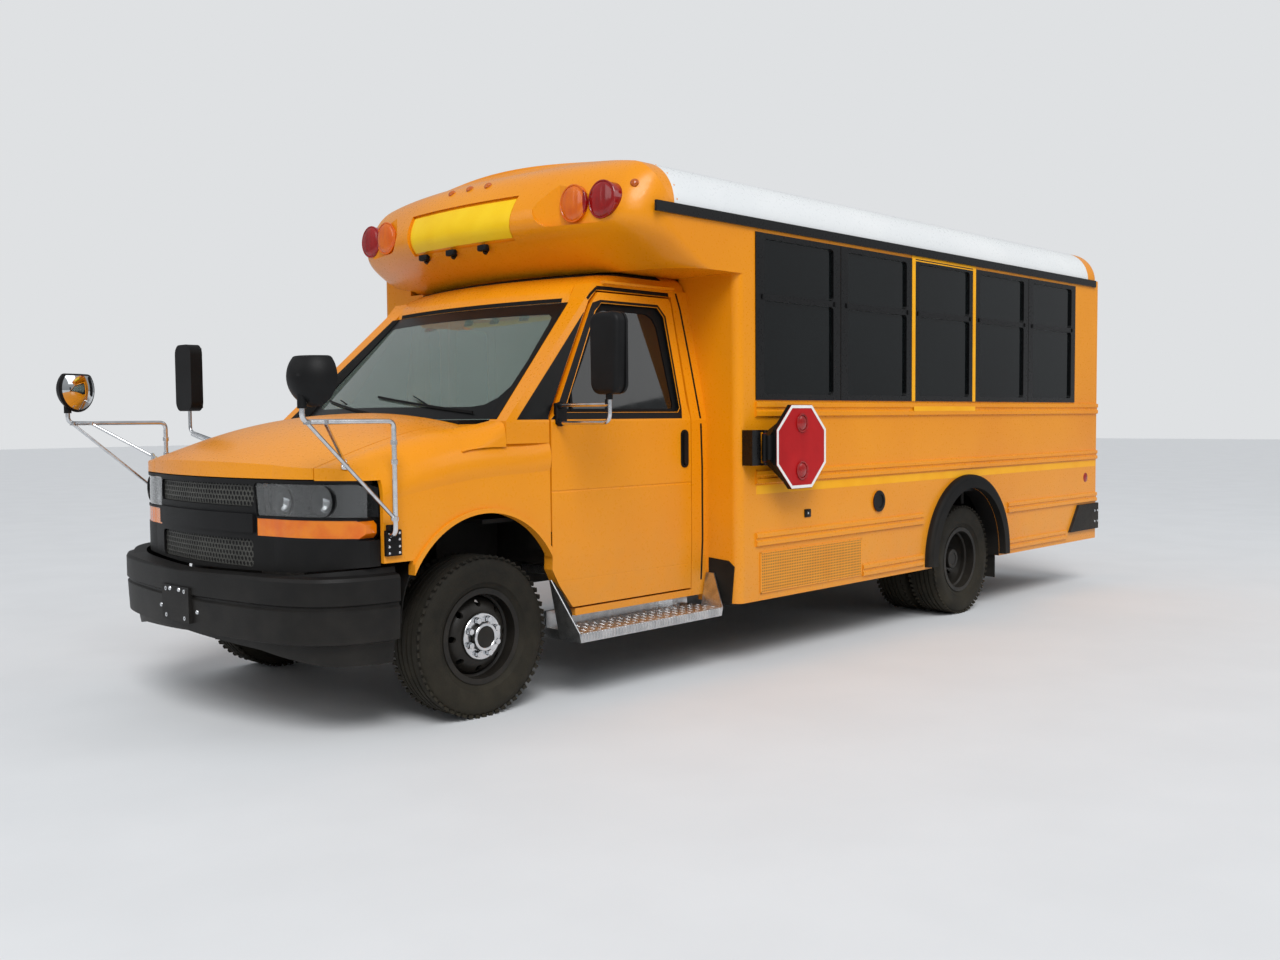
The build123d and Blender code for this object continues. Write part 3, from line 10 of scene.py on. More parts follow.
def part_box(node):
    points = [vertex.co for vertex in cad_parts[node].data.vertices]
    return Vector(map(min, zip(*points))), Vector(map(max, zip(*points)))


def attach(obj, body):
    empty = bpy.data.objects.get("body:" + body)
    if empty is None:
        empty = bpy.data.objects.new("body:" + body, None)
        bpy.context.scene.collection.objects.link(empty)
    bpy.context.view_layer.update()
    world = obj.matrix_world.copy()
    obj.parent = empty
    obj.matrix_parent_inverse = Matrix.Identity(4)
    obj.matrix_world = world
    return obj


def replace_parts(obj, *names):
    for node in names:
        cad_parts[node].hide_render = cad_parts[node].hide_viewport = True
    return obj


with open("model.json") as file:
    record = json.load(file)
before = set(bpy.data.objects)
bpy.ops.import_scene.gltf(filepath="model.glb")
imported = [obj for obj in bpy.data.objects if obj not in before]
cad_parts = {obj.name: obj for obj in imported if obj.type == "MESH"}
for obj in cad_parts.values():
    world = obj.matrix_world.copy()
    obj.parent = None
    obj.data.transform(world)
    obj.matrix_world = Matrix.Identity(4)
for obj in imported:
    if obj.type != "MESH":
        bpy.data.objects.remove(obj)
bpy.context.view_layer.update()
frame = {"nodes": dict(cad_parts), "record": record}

# Places are written as in the part's source: millimetres, X forward of the front axle, Y left, Z up.
ORIGIN = 2.542
HUB_Z = 372
REAR_AXLE = -4039
REAR_WALL = -6163
# Radius of the circle of wheel bolts
BOLT_CIRCLE = 82.55
# Shoulder blocks round a tyre, on each side
TREAD_BLOCKS = 60
# Front post of the first side window, and the distance from post to post
WINDOW_X, WINDOW_PITCH = -1694, 808.2
# Middle of the stop arm's octagon
STOP_X, STOP_Z = -1940, 1200


def at(x, y, z):
    return Vector((x / 1000 + ORIGIN, y / 1000, z / 1000))


# -------- materials

def linear(code):
    """sRGB hex as a linear colour."""
    parts = [int(code[i:i + 2], 16) / 255 for i in (0, 2, 4)]
    return [p / 12.92 if p <= 0.04045 else ((p + 0.055) / 1.055) ** 2.4 for p in parts] + [1.0]


def add(tree, kind, inputs=None, **settings):
    """Adds a node with its settings. An input is a value, or another node's output."""
    node = tree.nodes.new(kind)
    for name, value in settings.items():
        setattr(node, name, value)
    for name, value in (inputs or {}).items():
        if isinstance(value, bpy.types.NodeSocket):
            tree.links.new(value, node.inputs[name])
        else:
            node.inputs[name].default_value = value
    return node


def finish(name, roughness, sockets=None):
    """A new material with its shader and its Object coordinates."""
    material = bpy.data.materials.new(name)
    material.use_nodes = True
    tree = material.node_tree
    shader = tree.nodes["Principled BSDF"]
    for socket, value in {"Roughness": roughness, **(sockets or {})}.items():
        shader.inputs[socket].default_value = value
    return material, tree, shader, add(tree, "ShaderNodeTexCoord").outputs["Object"]


def patches(tree, coords, first, second, size_mm):
    """Soft patches of two colours, about size_mm across."""
    noise = add(tree, "ShaderNodeTexNoise", {"Vector": coords, "Scale": 1000 / size_mm, "Detail": 4.0})
    ramp = add(tree, "ShaderNodeMapRange", {
        "Value": noise.outputs["Fac"], "From Min": 0.35, "From Max": 0.65})
    return add(tree, "ShaderNodeMix", {0: ramp.outputs["Result"], 6: linear(first), 7: linear(second)},
               data_type="RGBA").outputs[2]


def grain(tree, shader, coords, size_mm, depth_mm, rough_low, rough_high, detail=3.0):
    """Fine relief, and roughness that follows it."""
    noise = add(tree, "ShaderNodeTexNoise", {"Vector": coords, "Scale": 1000 / size_mm, "Detail": detail})
    bump = add(tree, "ShaderNodeBump", {
        "Height": noise.outputs["Fac"], "Strength": 1.0, "Distance": depth_mm / 1000})
    rough = add(tree, "ShaderNodeMapRange", {
        "Value": noise.outputs["Fac"], "From Min": 0.3, "From Max": 0.7,
        "To Min": rough_low, "To Max": rough_high})
    tree.links.new(bump.outputs["Normal"], shader.inputs["Normal"])
    tree.links.new(rough.outputs["Result"], shader.inputs["Roughness"])


def road_dust(tree, coords, colour, dust, low, high, amount):
    """Pale dust that fades out with height above the road."""
    split = add(tree, "ShaderNodeSeparateXYZ", {"Vector": coords})
    fade = add(tree, "ShaderNodeMapRange", {
        "Value": split.outputs["Z"], "From Min": low, "From Max": high, "To Min": amount, "To Max": 0.0})
    noise = add(tree, "ShaderNodeTexNoise", {"Vector": coords, "Scale": 9.0, "Detail": 6.0})
    share = add(tree, "ShaderNodeMath", {0: fade.outputs["Result"], 1: noise.outputs["Fac"]},
                operation="MULTIPLY")
    return add(tree, "ShaderNodeMix", {0: share.outputs[0], 6: colour, 7: linear(dust)},
               data_type="RGBA").outputs[2]


def coated(name, roughness, sockets, colours, relief, dust=None):
    """A finish of two colours in soft patches, with road dust low down and fine relief."""
    material, tree, shader, coords = finish(name, roughness, sockets)
    colour = patches(tree, coords, *colours)
    if dust:
        colour = road_dust(tree, coords, colour, *dust)
    tree.links.new(colour, shader.inputs["Base Color"])
    grain(tree, shader, coords, *relief)
    return material


def sprayed_enamel(name, first, second, dust, amount):
    """Two-pack bus enamel, sprayed: even colour, a slight orange peel and a clear gloss."""
    # orange peel: its ripples are 14 mm apart, coarser than life, so that they show
    gloss = {"IOR": 1.45, "Coat Weight": 0.12, "Coat Roughness": 0.1, "Specular IOR Level": 0.35}
    return coated(name, 0.3, gloss, (first, second, 900), (14, 0.01, 0.26, 0.36, 1.0),
                  (dust, 0.35, 1.1, amount))


def moulded_plastic(name, first, second, grain_mm, depth_mm, rough):
    """Injection-moulded polypropylene: fine leather-like grain, dull, faded in patches."""
    return coated(name, rough, {"IOR": 1.49, "Specular IOR Level": 0.2}, (first, second, 160),
                  (grain_mm, depth_mm, rough - 0.08, rough + 0.1), ("7a7368", 0.25, 0.9, 0.16))


def painted_steel(name, first, second, rough, dust=0.35):
    """Brushed or dipped chassis paint over steel: low gloss, with dust low down."""
    return coated(name, rough, {"Specular IOR Level": 0.25}, (first, second, 60),
                  (6, 0.05, rough - 0.1, rough + 0.12), ("6d655a", 0.2, 1.0, dust))


def bare_metal(name, first, second, rough, grain_mm=3, depth_mm=0.03):
    """Rolled or plated metal: bright, with faint handling marks."""
    return coated(name, rough, {"Metallic": 1.0}, (first, second, 45),
                  (grain_mm, depth_mm, rough - 0.08, rough + 0.1))


def sheet_glass(name, first, second, rough, clear):
    """Tinted safety glass: a see-through sheet with a mirror-smooth face."""
    # float-glass waviness, 120 mm long
    return coated(name, rough, {"IOR": 1.52, "Transmission Weight": clear}, (first, second, 700),
                  (120, 0.05, rough, rough + 0.03, 1.0))


def ribbed_lens(name, first, second, other=None, axis=0, edge=0.0, mirrored=False):
    """Moulded polycarbonate lens: deep clear colour over pressed ribs, and a second one past an edge."""
    material, tree, shader, coords = finish(name, 0.14, {
        "IOR": 1.585, "Coat Weight": 0.15, "Transmission Weight": 0.1, "Specular IOR Level": 0.4})
    colour = patches(tree, coords, first, second, 90)
    if other:
        place = add(tree, "ShaderNodeSeparateXYZ", {"Vector": coords}).outputs[axis]
        if mirrored:
            place = add(tree, "ShaderNodeMath", {0: place}, operation="ABSOLUTE").outputs[0]
        past = add(tree, "ShaderNodeMath", {0: place, 1: edge}, operation="GREATER_THAN").outputs[0]
        colour = add(tree, "ShaderNodeMix", {0: past, 6: colour, 7: patches(tree, coords, *other, 90)},
                     data_type="RGBA").outputs[2]
    tree.links.new(colour, shader.inputs["Base Color"])
    # ribs 7 mm apart
    wave = add(tree, "ShaderNodeTexWave", {"Vector": coords, "Scale": 1000 / 7 / 20, "Distortion": 0.0},
               bands_direction="Y")
    bump = add(tree, "ShaderNodeBump", {"Height": wave.outputs["Fac"], "Strength": 1.0, "Distance": 0.0008})
    tree.links.new(bump.outputs["Normal"], shader.inputs["Normal"])
    return material


# School bus body: two-pack polyurethane enamel on steel and glass-fibre, deep orange-yellow gloss
YELLOW = sprayed_enamel("polyurethane_enamel_yellow", "e48c08", "eb950d", "a98f66", 0.3)
# White roof: the same enamel over the galvanised roof skin
WHITE = sprayed_enamel("polyurethane_enamel_white", "dfe2e3", "e8eaea", "b9b4a8", 0.0)
# Black gloss trim paint on the drip rails and window frames
BLACK = sprayed_enamel("gloss_enamel_black", "070708", "0c0c0d", "3f3b35", 0.25)
# Chassis: dipped black paint, dull and dusty
CHASSIS = painted_steel("dipped_chassis_paint", "0a0a0a", "131211", 0.6)
# Wheels: black powder-coated steel discs
WHEEL = painted_steel("powder_coated_wheel_steel", "090909", "121110", 0.4, 0.2)
# Bumper, grille and mirror shells: grained polypropylene
PLASTIC = moulded_plastic("moulded_polypropylene_black", "0b0b0c", "111112", 2.5, 0.12, 0.5)
# Interior trim: grey ABS, finely grained
TRIM = moulded_plastic("moulded_abs_grey", "4c4d4f", "585a5b", 2.0, 0.08, 0.6)
RUBBER = moulded_plastic("extruded_epdm_rubber", "070707", "0d0d0d", 3.0, 0.05, 0.65)
FLOORING = moulded_plastic("ribbed_floor_rubber", "1a1b1d", "242526", 4.0, 0.3, 0.7)
CAST = painted_steel("cast_iron_block", "3b3a38", "4b4641", 0.7, 0.2)
STAINLESS = bare_metal("welded_stainless_pipe", "8d8a84", "a39f98", 0.35)
BRIGHT = bare_metal("chromed_steel", "c9cbce", "dfe0e2", 0.16)
TREAD_PLATE = bare_metal("rolled_tread_plate", "b9bbbd", "d2d3d4", 0.32)
GLASS_DARK = sheet_glass("privacy_tinted_glass", "0b1011", "111718", 0.02, 0.5)
GLASS_CLEAR = sheet_glass("laminated_windshield_glass", "a3b8ae", "b0c3ba", 0.01, 0.8)
LENS_HEAD = sheet_glass("clear_lamp_polycarbonate", "eef1f2", "f4f6f6", 0.02, 0.97)
# Warning lamps: amber inboard and red outboard. Signal lamps: red at the rear and amber in front
LENS_WARN = ribbed_lens("polycarbonate_warning_lens", "d95f06", "e8740c", ("8c0b0c", "a51312"), 1, 0.885,
                        mirrored=True)
LENS_SIGNAL = ribbed_lens("polycarbonate_signal_lens", "a30d0c", "b5130f", ("e56c02", "f08408"))
SIGN = moulded_plastic("reflective_sign_sheet_red", "a60f14", "b5161a", 1.0, 0.01, 0.4)
VINYL = moulded_plastic("upholstery_vinyl", "1c2530", "24303c", 2.0, 0.15, 0.5)
LENS_RED = ribbed_lens("polycarbonate_red_lens", "8c0b0c", "a51312")
LENS_AMBER = ribbed_lens("polycarbonate_amber_lens", "b8560a", "cc6a0e")
PLASTIC_GLOSS = moulded_plastic("moulded_abs_grille_black", "070808", "0c0c0d", 3.0, 0.04, 0.36)
# Grille screen: dark grained plastic lifted to mid-grey, a painted highlight standing for bright light on the
# rims of its bars
SCREEN = moulded_plastic("moulded_abs_grille_screen", "454542", "51514d", 3.0, 0.04, 0.4)
HOUSING = moulded_plastic("vacuum_formed_lamp_housing", "0a0b0c", "111214", 6.0, 0.05, 0.3)
SIGN_YELLOW = moulded_plastic("reflective_sign_sheet_yellow", "f2c511", "f6cd1e", 1.0, 0.01, 0.35)
SIGN_WHITE = moulded_plastic("reflective_sign_sheet_white", "e3e3e1", "ececea", 1.0, 0.01, 0.4)
TAPE = moulded_plastic("reflective_tape_yellow", "f3a80a", "f8b21a", 1.0, 0.01, 0.35)
# Perforated steel screen: yellow sheet with a square pattern of dark holes
PERFORATED, tree, shader, coords = finish("perforated_steel_sheet", 0.5)
cell = coords
for operation, vector in (("MULTIPLY", (62.5, 62.5, 62.5)), ("FRACTION", (0, 0, 0)),
                          ("SUBTRACT", (0.5, 0.5, 0.5)), ("MULTIPLY", (1.0, 0.0, 1.0))):
    cell = add(tree, "ShaderNodeVectorMath", {0: cell, 1: vector}, operation=operation).outputs[0]
reach = add(tree, "ShaderNodeVectorMath", {0: cell}, operation="LENGTH")
hole = add(tree, "ShaderNodeMapRange", {
    "Value": reach.outputs["Value"], "From Min": 0.27, "From Max": 0.33, "To Min": 1.0, "To Max": 0.0})
sheet = patches(tree, coords, "dd8c12", "e4951c", 120)
tree.links.new(add(tree, "ShaderNodeMix", {0: hole.outputs[0], 6: sheet, 7: linear("8a6424")},
                   data_type="RGBA").outputs[2], shader.inputs["Base Color"])
MIRROR = bare_metal("silvered_mirror_glass", "d6d9da", "e0e3e4", 0.04, 200, 0.01)
# Carbon-black tread rubber, moulded and dusty: flat dark grey with brown road film
TYRE = coated("tyre_rubber", 0.75, {"Specular IOR Level": 0.25}, ("100f0c", "1a1712", 70),
              (5, 0.15, 0.68, 0.86), ("57503f", 0.0, 0.9, 0.4))

slot_finish = {
    "yellow": YELLOW, "white_roof": WHITE, "black_paint": BLACK, "chassis_black": CHASSIS,
    "black_plastic": PLASTIC, "black_rubber": RUBBER, "tyre": TYRE, "wheel_steel": WHEEL,
    "stainless": STAINLESS, "cast": CAST, "alu_frame": BLACK, "dark_glass": GLASS_DARK,
    "clear_glass": GLASS_CLEAR, "lamp_clear": LENS_HEAD, "lamp_red": LENS_WARN,
    "lamp_amber": LENS_SIGNAL, "grey_trim": TRIM, "seat_vinyl": VINYL, "floor_rubber": FLOORING,
    "sign_red": SIGN, "tread_plate": TREAD_PLATE,
}
node_finish = {
    "mirror_tubes": BRIGHT, "driver_door_glass": GLASS_DARK, "exit_door_glass": GLASS_DARK,
    "entry_glass_front": GLASS_DARK, "entry_glass_rear": GLASS_DARK,
}
node_slot = {entry["node"]: entry["material_slot"] for entry in frame["record"]["subparts"]}
for name, node in frame["nodes"].items():
    node.data.materials.clear()
    node.data.materials.append(node_finish.get(name) or slot_finish[node_slot[name]])


# -------- helpers for new pieces

SIDES = ((1, "left"), (-1, "right"))
BACK = (-1, 0, 0)


def show(name, data):
    """A new object in the scene."""
    made = bpy.data.objects.new(name, data)
    bpy.context.scene.collection.objects.link(made)
    return made


def piece(name, mesh, material, smooth=None, body="bus"):
    """Turns a bmesh into an object that rides on a body."""
    if smooth is not None:
        for face in mesh.faces:
            face.smooth = True
        for edge in mesh.edges:
            edge.smooth = len(edge.link_faces) == 2 and edge.calc_face_angle(0) < math.radians(smooth)
    data = bpy.data.meshes.new(name)
    mesh.to_mesh(data)
    mesh.free()
    data.materials.append(material)
    made = show(name, data)
    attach(made, body)
    return made


def edges_of(verts):
    return list({edge for vert in verts for edge in vert.link_edges})


def edges_along(verts, axis):
    """The edges of a new box that run along an axis."""
    return [e for e in edges_of(verts) if abs(e.verts[0].co[axis] - e.verts[1].co[axis]) > 0.001]


def round_edges(mesh, edges, radius, segments=2):
    """Rounds some edges off."""
    return bmesh.ops.bevel(mesh, geom=edges, offset=radius, offset_type="OFFSET", segments=segments,
                           profile=0.5, affect="EDGES", material=-1, clamp_overlap=True)["verts"]


def cut_off(mesh, verts, place, normal):
    """Cuts a shape off beyond a plane, and gives what lies on the cut."""
    geometry = list(verts) + edges_of(verts) + list({face for vert in verts for face in vert.link_faces})
    return bmesh.ops.bisect_plane(mesh, geom=geometry, plane_co=place, plane_no=normal,
                                  clear_outer=True)["geom_cut"]


def turned_to(axis, start=(0, 0, 1)):
    """The turn that brings one direction to another."""
    return Vector(start).rotation_difference(Vector(axis)).to_matrix().to_4x4()


def block(mesh, low, high, bevel=0.0, segments=2):
    """A box between two corners with its edges rounded."""
    made = bmesh.ops.create_cube(mesh, size=1.0)["verts"]
    bmesh.ops.scale(mesh, vec=Vector([abs(s) for s in high - low]), verts=made)
    bmesh.ops.translate(mesh, vec=(low + high) / 2, verts=made)
    return round_edges(mesh, edges_of(made), bevel, segments) if bevel else made


def disc(mesh, centre, axis, radius, depth, bevel=0.0, sides=12):
    """A round piece whose base sits at centre and that rises along axis."""
    place = Matrix.Translation(centre) @ turned_to(axis) @ Matrix.Translation((0, 0, depth / 2))
    made = bmesh.ops.create_cone(mesh, cap_ends=True, segments=sides, radius1=radius, radius2=radius,
                                 depth=depth, matrix=place)["verts"]
    if bevel:
        round_edges(mesh, [e for e in edges_of(made) if any(len(f.verts) > 4 for f in e.link_faces)], bevel)


# -------- camera, floor and light

focal_mm = 33.75
yaw, pitch, roll = math.radians(43.530), math.radians(2.987), math.radians(-0.463)
forward = Vector((-math.cos(yaw) * math.cos(pitch), -math.sin(yaw) * math.cos(pitch), -math.sin(pitch)))
level = forward.cross(Vector((0, 0, 1))).normalized()
above = level.cross(forward)
right = math.cos(roll) * level + math.sin(roll) * above
up = -math.sin(roll) * level + math.cos(roll) * above
lens = bpy.data.cameras.new("camera")
lens.lens = focal_mm
lens.sensor_width = 36.0
lens.clip_end = 300.0
camera = show("camera", lens)
camera.matrix_world = (Matrix.Translation(at(3451.2, 5243.6, 1367.4))
                       @ Matrix((right, up, -forward)).transposed().to_4x4())
bpy.context.scene.camera = camera
bpy.context.scene.view_settings.view_transform = "Standard"

ground = bmesh.new()
bmesh.ops.create_grid(ground, x_segments=4, y_segments=4, size=60.0)
data = bpy.data.meshes.new("studio_floor")
ground.to_mesh(data)
ground.free()
floor_paint, tree, shader, coords = finish("studio_floor_paint", 0.7)
tree.links.new(patches(tree, coords, "dadcde", "dddfe1", 600), shader.inputs["Base Color"])
data.materials.append(floor_paint)
show("studio_floor", data)

world = bpy.data.worlds.new("studio")
bpy.context.scene.world = world
world.use_nodes = True
tree = world.node_tree
tree.nodes.clear()
path = add(tree, "ShaderNodeLightPath")
sky_coords = add(tree, "ShaderNodeTexCoord")
height = add(tree, "ShaderNodeSeparateXYZ", {"Vector": sky_coords.outputs["Generated"]})
fade = add(tree, "ShaderNodeMapRange", {
    "Value": height.outputs["Z"], "From Min": -0.1, "From Max": 0.7, "To Min": 0.27, "To Max": 0.56})
soft = add(tree, "ShaderNodeBackground", {"Color": linear("f1f4f8"), "Strength": fade.outputs["Result"]})
plain = add(tree, "ShaderNodeBackground", {"Color": linear("dfe1e3"), "Strength": 1.0})
seen = add(tree, "ShaderNodeMixShader", {
    0: path.outputs["Is Camera Ray"], 1: soft.outputs[0], 2: plain.outputs[0]})
add(tree, "ShaderNodeOutputWorld", {"Surface": seen.outputs[0]})


def lamp(name, kind, energy, place, direction, **settings):
    """A lamp that shines from a place in a direction."""
    light = bpy.data.lights.new(name, kind)
    light.energy = energy
    for setting, value in settings.items():
        setattr(light, setting, value)
    made = show(name, light)
    made.location = place
    made.rotation_euler = direction.to_track_quat("-Z", "Y").to_euler()


# Columns: place, aim, size in metres, power
lamp_table = [
    (at(5200, 7800, 6800), at(-1200, 600, 1000), 5.0, 165.0),
    (at(-7500, 8500, 7500), at(-3000, 800, 1200), 6.0, 150.0),
    (at(8500, -3500, 6500), at(0, 0, 1200), 5.0, 115.0),
]
for index, (place, aim, size, power) in enumerate(lamp_table):
    lamp("softbox_%d" % index, "AREA", power, place, aim - place, shape="SQUARE", size=size)
# One broad, soft sun lights bus and floor evenly
lamp("broad_sun", "SUN", 1.7, (0, 0, 0), Vector((-0.42, -0.52, -0.75)), angle=math.radians(28))

# -------- seating pieces on the CAD's surfaces

def skin_of(*names):
    """Search tree of some nodes' faces, so that a piece can lie on the real surface."""
    points, faces = [], []
    for name in names:
        mesh = frame["nodes"][name].data
        start = len(points)
        points.extend(vertex.co for vertex in mesh.vertices)
        faces.extend([start + i for i in polygon.vertices] for polygon in mesh.polygons)
    return BVHTree.FromPolygons(points, faces)


def seat(skin, point, direction, lift=0.0):
    """Where a line from point meets the surface, raised by lift, and the surface's direction there."""
    hit, normal = skin.ray_cast(point, Vector(direction))[:2]
    if hit is None:
        return None, None
    if normal.dot(Vector(direction)) > 0:
        normal = -normal
    return hit + normal * lift, normal


def drape(mesh, skin, direction, lift):
    """Moves every vertex along direction on to the surface, and deletes what misses it."""
    missed = []
    for vertex in mesh.verts:
        place, normal = seat(skin, vertex.co, direction, lift)
        if place is None:
            missed.append(vertex)
        else:
            vertex.co = place
    bmesh.ops.delete(mesh, geom=missed, context="VERTS")


def flat_sheet(points, cuts):
    """A flat face from its corners, cut across in steps so that it can bend.
    Each cut is an axis number and a step in mm."""
    mesh = bmesh.new()
    mesh.faces.new([mesh.verts.new(point) for point in points])
    for axis, step in cuts:
        low, high = (pick(point[axis] for point in points) for pick in (min, max))
        count = max(1, round((high - low) * 1000 / step))
        for index in range(1, count):
            place, normal = Vector((0, 0, 0)), Vector((0, 0, 0))
            place[axis] = low + (high - low) * index / count
            normal[axis] = 1
            geometry = mesh.verts[:] + mesh.edges[:] + mesh.faces[:]
            bmesh.ops.bisect_plane(mesh, geom=geometry, plane_co=place, plane_no=normal)
    return mesh


def thicken(mesh, thickness):
    """Gives a sheet its wall."""
    bmesh.ops.recalc_face_normals(mesh, faces=mesh.faces[:])
    bmesh.ops.solidify(mesh, geom=mesh.faces[:], thickness=thickness)
    bmesh.ops.recalc_face_normals(mesh, faces=mesh.faces[:])


def spun(mesh, profile, centre, axis, steps=32):
    """A round piece from (radius, along) points in mm, standing at centre along axis."""
    old = set(mesh.verts)
    line = [mesh.verts.new((radius / 1000, 0, along / 1000)) for radius, along in profile]
    edges = [mesh.edges.new(pair) for pair in zip(line, line[1:])]
    bmesh.ops.spin(mesh, geom=line + edges, cent=(0, 0, 0), axis=(0, 0, 1), dvec=(0, 0, 0),
                   angle=2 * math.pi, steps=steps, use_merge=True, use_duplicate=False)
    bmesh.ops.remove_doubles(mesh, verts=[vertex for vertex in mesh.verts if vertex not in old], dist=1e-5)
    made = [vertex for vertex in mesh.verts if vertex not in old]
    bmesh.ops.transform(mesh, matrix=Matrix.Translation(centre) @ turned_to(axis), verts=made)
    bmesh.ops.recalc_face_normals(mesh, faces=list({face for vertex in made for face in vertex.link_faces}))


def stud(mesh, profile, skin, point, direction, steps):
    """A round piece that stands on the surface which a line from point meets."""
    place, normal = seat(skin, point, direction)
    if place:
        spun(mesh, profile, place, normal, steps)


def ring_profile(inner, outer, height, edge):
    """Profile of a flat ring with rounded outer and inner edges."""
    return [(inner, 0), (inner, height - edge), (inner + edge, height), (outer - edge, height),
            (outer, height - edge), (outer, 0), (inner, 0)]


def dome_profile(radius, height, steps=5):
    """Profile of a shallow dome with a flat back."""
    rim = [(radius * math.cos(i / steps * math.pi / 2), height * math.sin(i / steps * math.pi / 2))
           for i in range(steps)]
    return [(0.0, 0.0)] + rim + [(0.0, height)]


def join_rows(mesh, rows, closed=False):
    """Faces between rows of vertices."""
    for first, second in zip(rows, rows[1:] + (rows[:1] if closed else [])):
        for corners in zip(first, first[1:], second[1:], second):
            mesh.faces.new(corners)


def band(pairs, closed, skin, direction, lift, depth, name, material, body="bus"):
    """A flat trim between two lines of points that run side by side, laid on the surface."""
    pairs = list(pairs) + ([pairs[0]] if closed else [])
    fine = []
    for first, second in zip(pairs, pairs[1:]):
        count = max(1, round((first[0] - second[0]).length / 0.04))
        fine += [[a.lerp(b, index / count) for a, b in zip(first, second)] for index in range(count)]
    if not closed:
        fine.append(pairs[-1])
    mesh = bmesh.new()
    join_rows(mesh, [[mesh.verts.new(point) for point in pair] for pair in fine], closed)
    if skin:
        drape(mesh, skin, direction, lift / 1000)
    thicken(mesh, depth / 1000)
    piece(name, mesh, material, body=body)


def strip(points, width, direction, skin, lift, depth, name, material):
    """A narrow band laid along a line of points on the CAD's surface."""
    run = []
    for start, end in zip(points, points[1:]):
        count = max(1, round((end - start).length / 0.04))
        run += [start.lerp(end, index / count) for index in range(count)]
    run.append(points[-1])
    pairs = []
    for before, point, after in zip(run[:1] + run, run, run[1:] + run[-1:]):
        across = (after - before).cross(Vector(direction)).normalized() * width / 2000
        pairs.append((point - across, point + across))
    band(pairs, False, skin, direction, lift, depth, name, material)


def bent_tube(mesh, points, radius, bend, sides=16):
    """A round tube through points in mm, bent on a radius at each of them."""
    run = [Vector(points[0])]
    for before, corner, after in zip(points, points[1:], points[2:]):
        corner = Vector(corner)
        start = corner + (Vector(before) - corner).normalized() * bend
        end = corner + (Vector(after) - corner).normalized() * bend
        for index in range(7):
            t = index / 6
            run.append(start.lerp(corner, t).lerp(corner.lerp(end, t), t))
    run.append(Vector(points[-1]))
    ring, side = None, None
    for index, point in enumerate(run):
        along = (run[min(index + 1, len(run) - 1)] - run[max(index - 1, 0)]).normalized()
        side = side - along * side.dot(along) if ring else turned_to(along) @ Vector((1, 0, 0))
        side.normalize()
        axes = Matrix((side, along.cross(side), along)).transposed().to_4x4()
        place = Matrix.Translation(at(*point)) @ axes
        made = bmesh.ops.create_circle(mesh, cap_ends=index in (0, len(run) - 1), segments=sides,
                                       radius=radius / 1000, matrix=place)["verts"]
        if ring:
            join_rows(mesh, [ring + ring[:1], made + made[:1]])
        ring = made
    bmesh.ops.recalc_face_normals(mesh, faces=mesh.faces[:])


# Plan of the nose: a shallow arc across the middle and a rounder one at each corner
NOSE_MIDDLE = (-1688.0, 0.0, 2560.0)
NOSE_CORNER = (159.2, 491.6, 654.3)


def nose_x(y, inset=0.0):
    """How far forward the nose stands at y, in mm."""
    x, centre, radius = NOSE_MIDDLE if abs(y) <= 560 else NOSE_CORNER
    return x + math.sqrt(max(radius ** 2 - (abs(y) - centre) ** 2, 0.0)) - inset


def bend_to_nose(mesh, inset):
    """Moves a flat sheet at x = 0 on to the nose, keeping its own depth."""
    for vertex in mesh.verts:
        vertex.co.x += at(nose_x(vertex.co.y * 1000, inset), 0, 0).x


def nose_sheet(view, step, inset, thickness, name, material):
    """A sheet that follows the nose, from its corners as y and z in front view."""
    mesh = flat_sheet([Vector((0, y / 1000, z / 1000)) for y, z in view], [(1, step)])
    bend_to_nose(mesh, inset)
    thicken(mesh, thickness / 1000)
    return piece(name, mesh, material)


# -------- grille and lamps at the front

def hex_screen(y0, y1, z0, z1, pitch, bar, depth):
    """Six-sided openings in a moulded screen, cut off square at its edges."""
    mesh = bmesh.new()
    reach = pitch / math.sqrt(3)
    upright = Matrix.Rotation(math.pi / 2, 4, "Y")
    rows = math.ceil((z1 - z0) / (1.5 * reach)) + 2
    columns = math.ceil((y1 - y0) / pitch) + 2
    for row in range(rows):
        for column in range(columns):
            y = y0 + (column - 0.5 + 0.5 * (row % 2)) * pitch
            z = z0 + (row - 0.5) * 1.5 * reach
            bmesh.ops.create_circle(mesh, cap_ends=True, segments=6, radius=reach / 1000,
                                    matrix=Matrix.Translation((0, y / 1000, z / 1000)) @ upright)
    bmesh.ops.remove_doubles(mesh, verts=mesh.verts[:], dist=1e-4)
    rims = bmesh.ops.inset_individual(mesh, faces=mesh.faces[:], thickness=bar / 2000, depth=0.0)["faces"]
    openings = [face for face in mesh.faces if face not in set(rims)]
    bmesh.ops.delete(mesh, geom=openings, context="FACES")
    for place, normal in (((0, y0 / 1000, 0), (0, -1, 0)), ((0, y1 / 1000, 0), (0, 1, 0)),
                          ((0, 0, z0 / 1000), (0, 0, -1)), ((0, 0, z1 / 1000), (0, 0, 1))):
        cut_off(mesh, mesh.verts, place, normal)
    thicken(mesh, depth / 1000)
    return mesh


# Columns: half width, low, high of each grille opening
for name, half, low, high in (("grille_screen_lower", 428, 728, 848),
                              ("grille_screen_upper", 438, 994, 1088)):
    screen = hex_screen(-half, half, low, high, 25.0, 7.5, 9.0)
    bend_to_nose(screen, 12)
    piece(name, screen, SCREEN)
    half -= 2
    # Dark sheet behind each opening: partly the dark radiator behind the grille, partly painted shade in the
    # depth of the openings
    nose_sheet([(-half, low + 2), (half, low + 2), (half, high - 2), (-half, high - 2)], 40, 23, 1,
               name + "_backing", RUBBER)
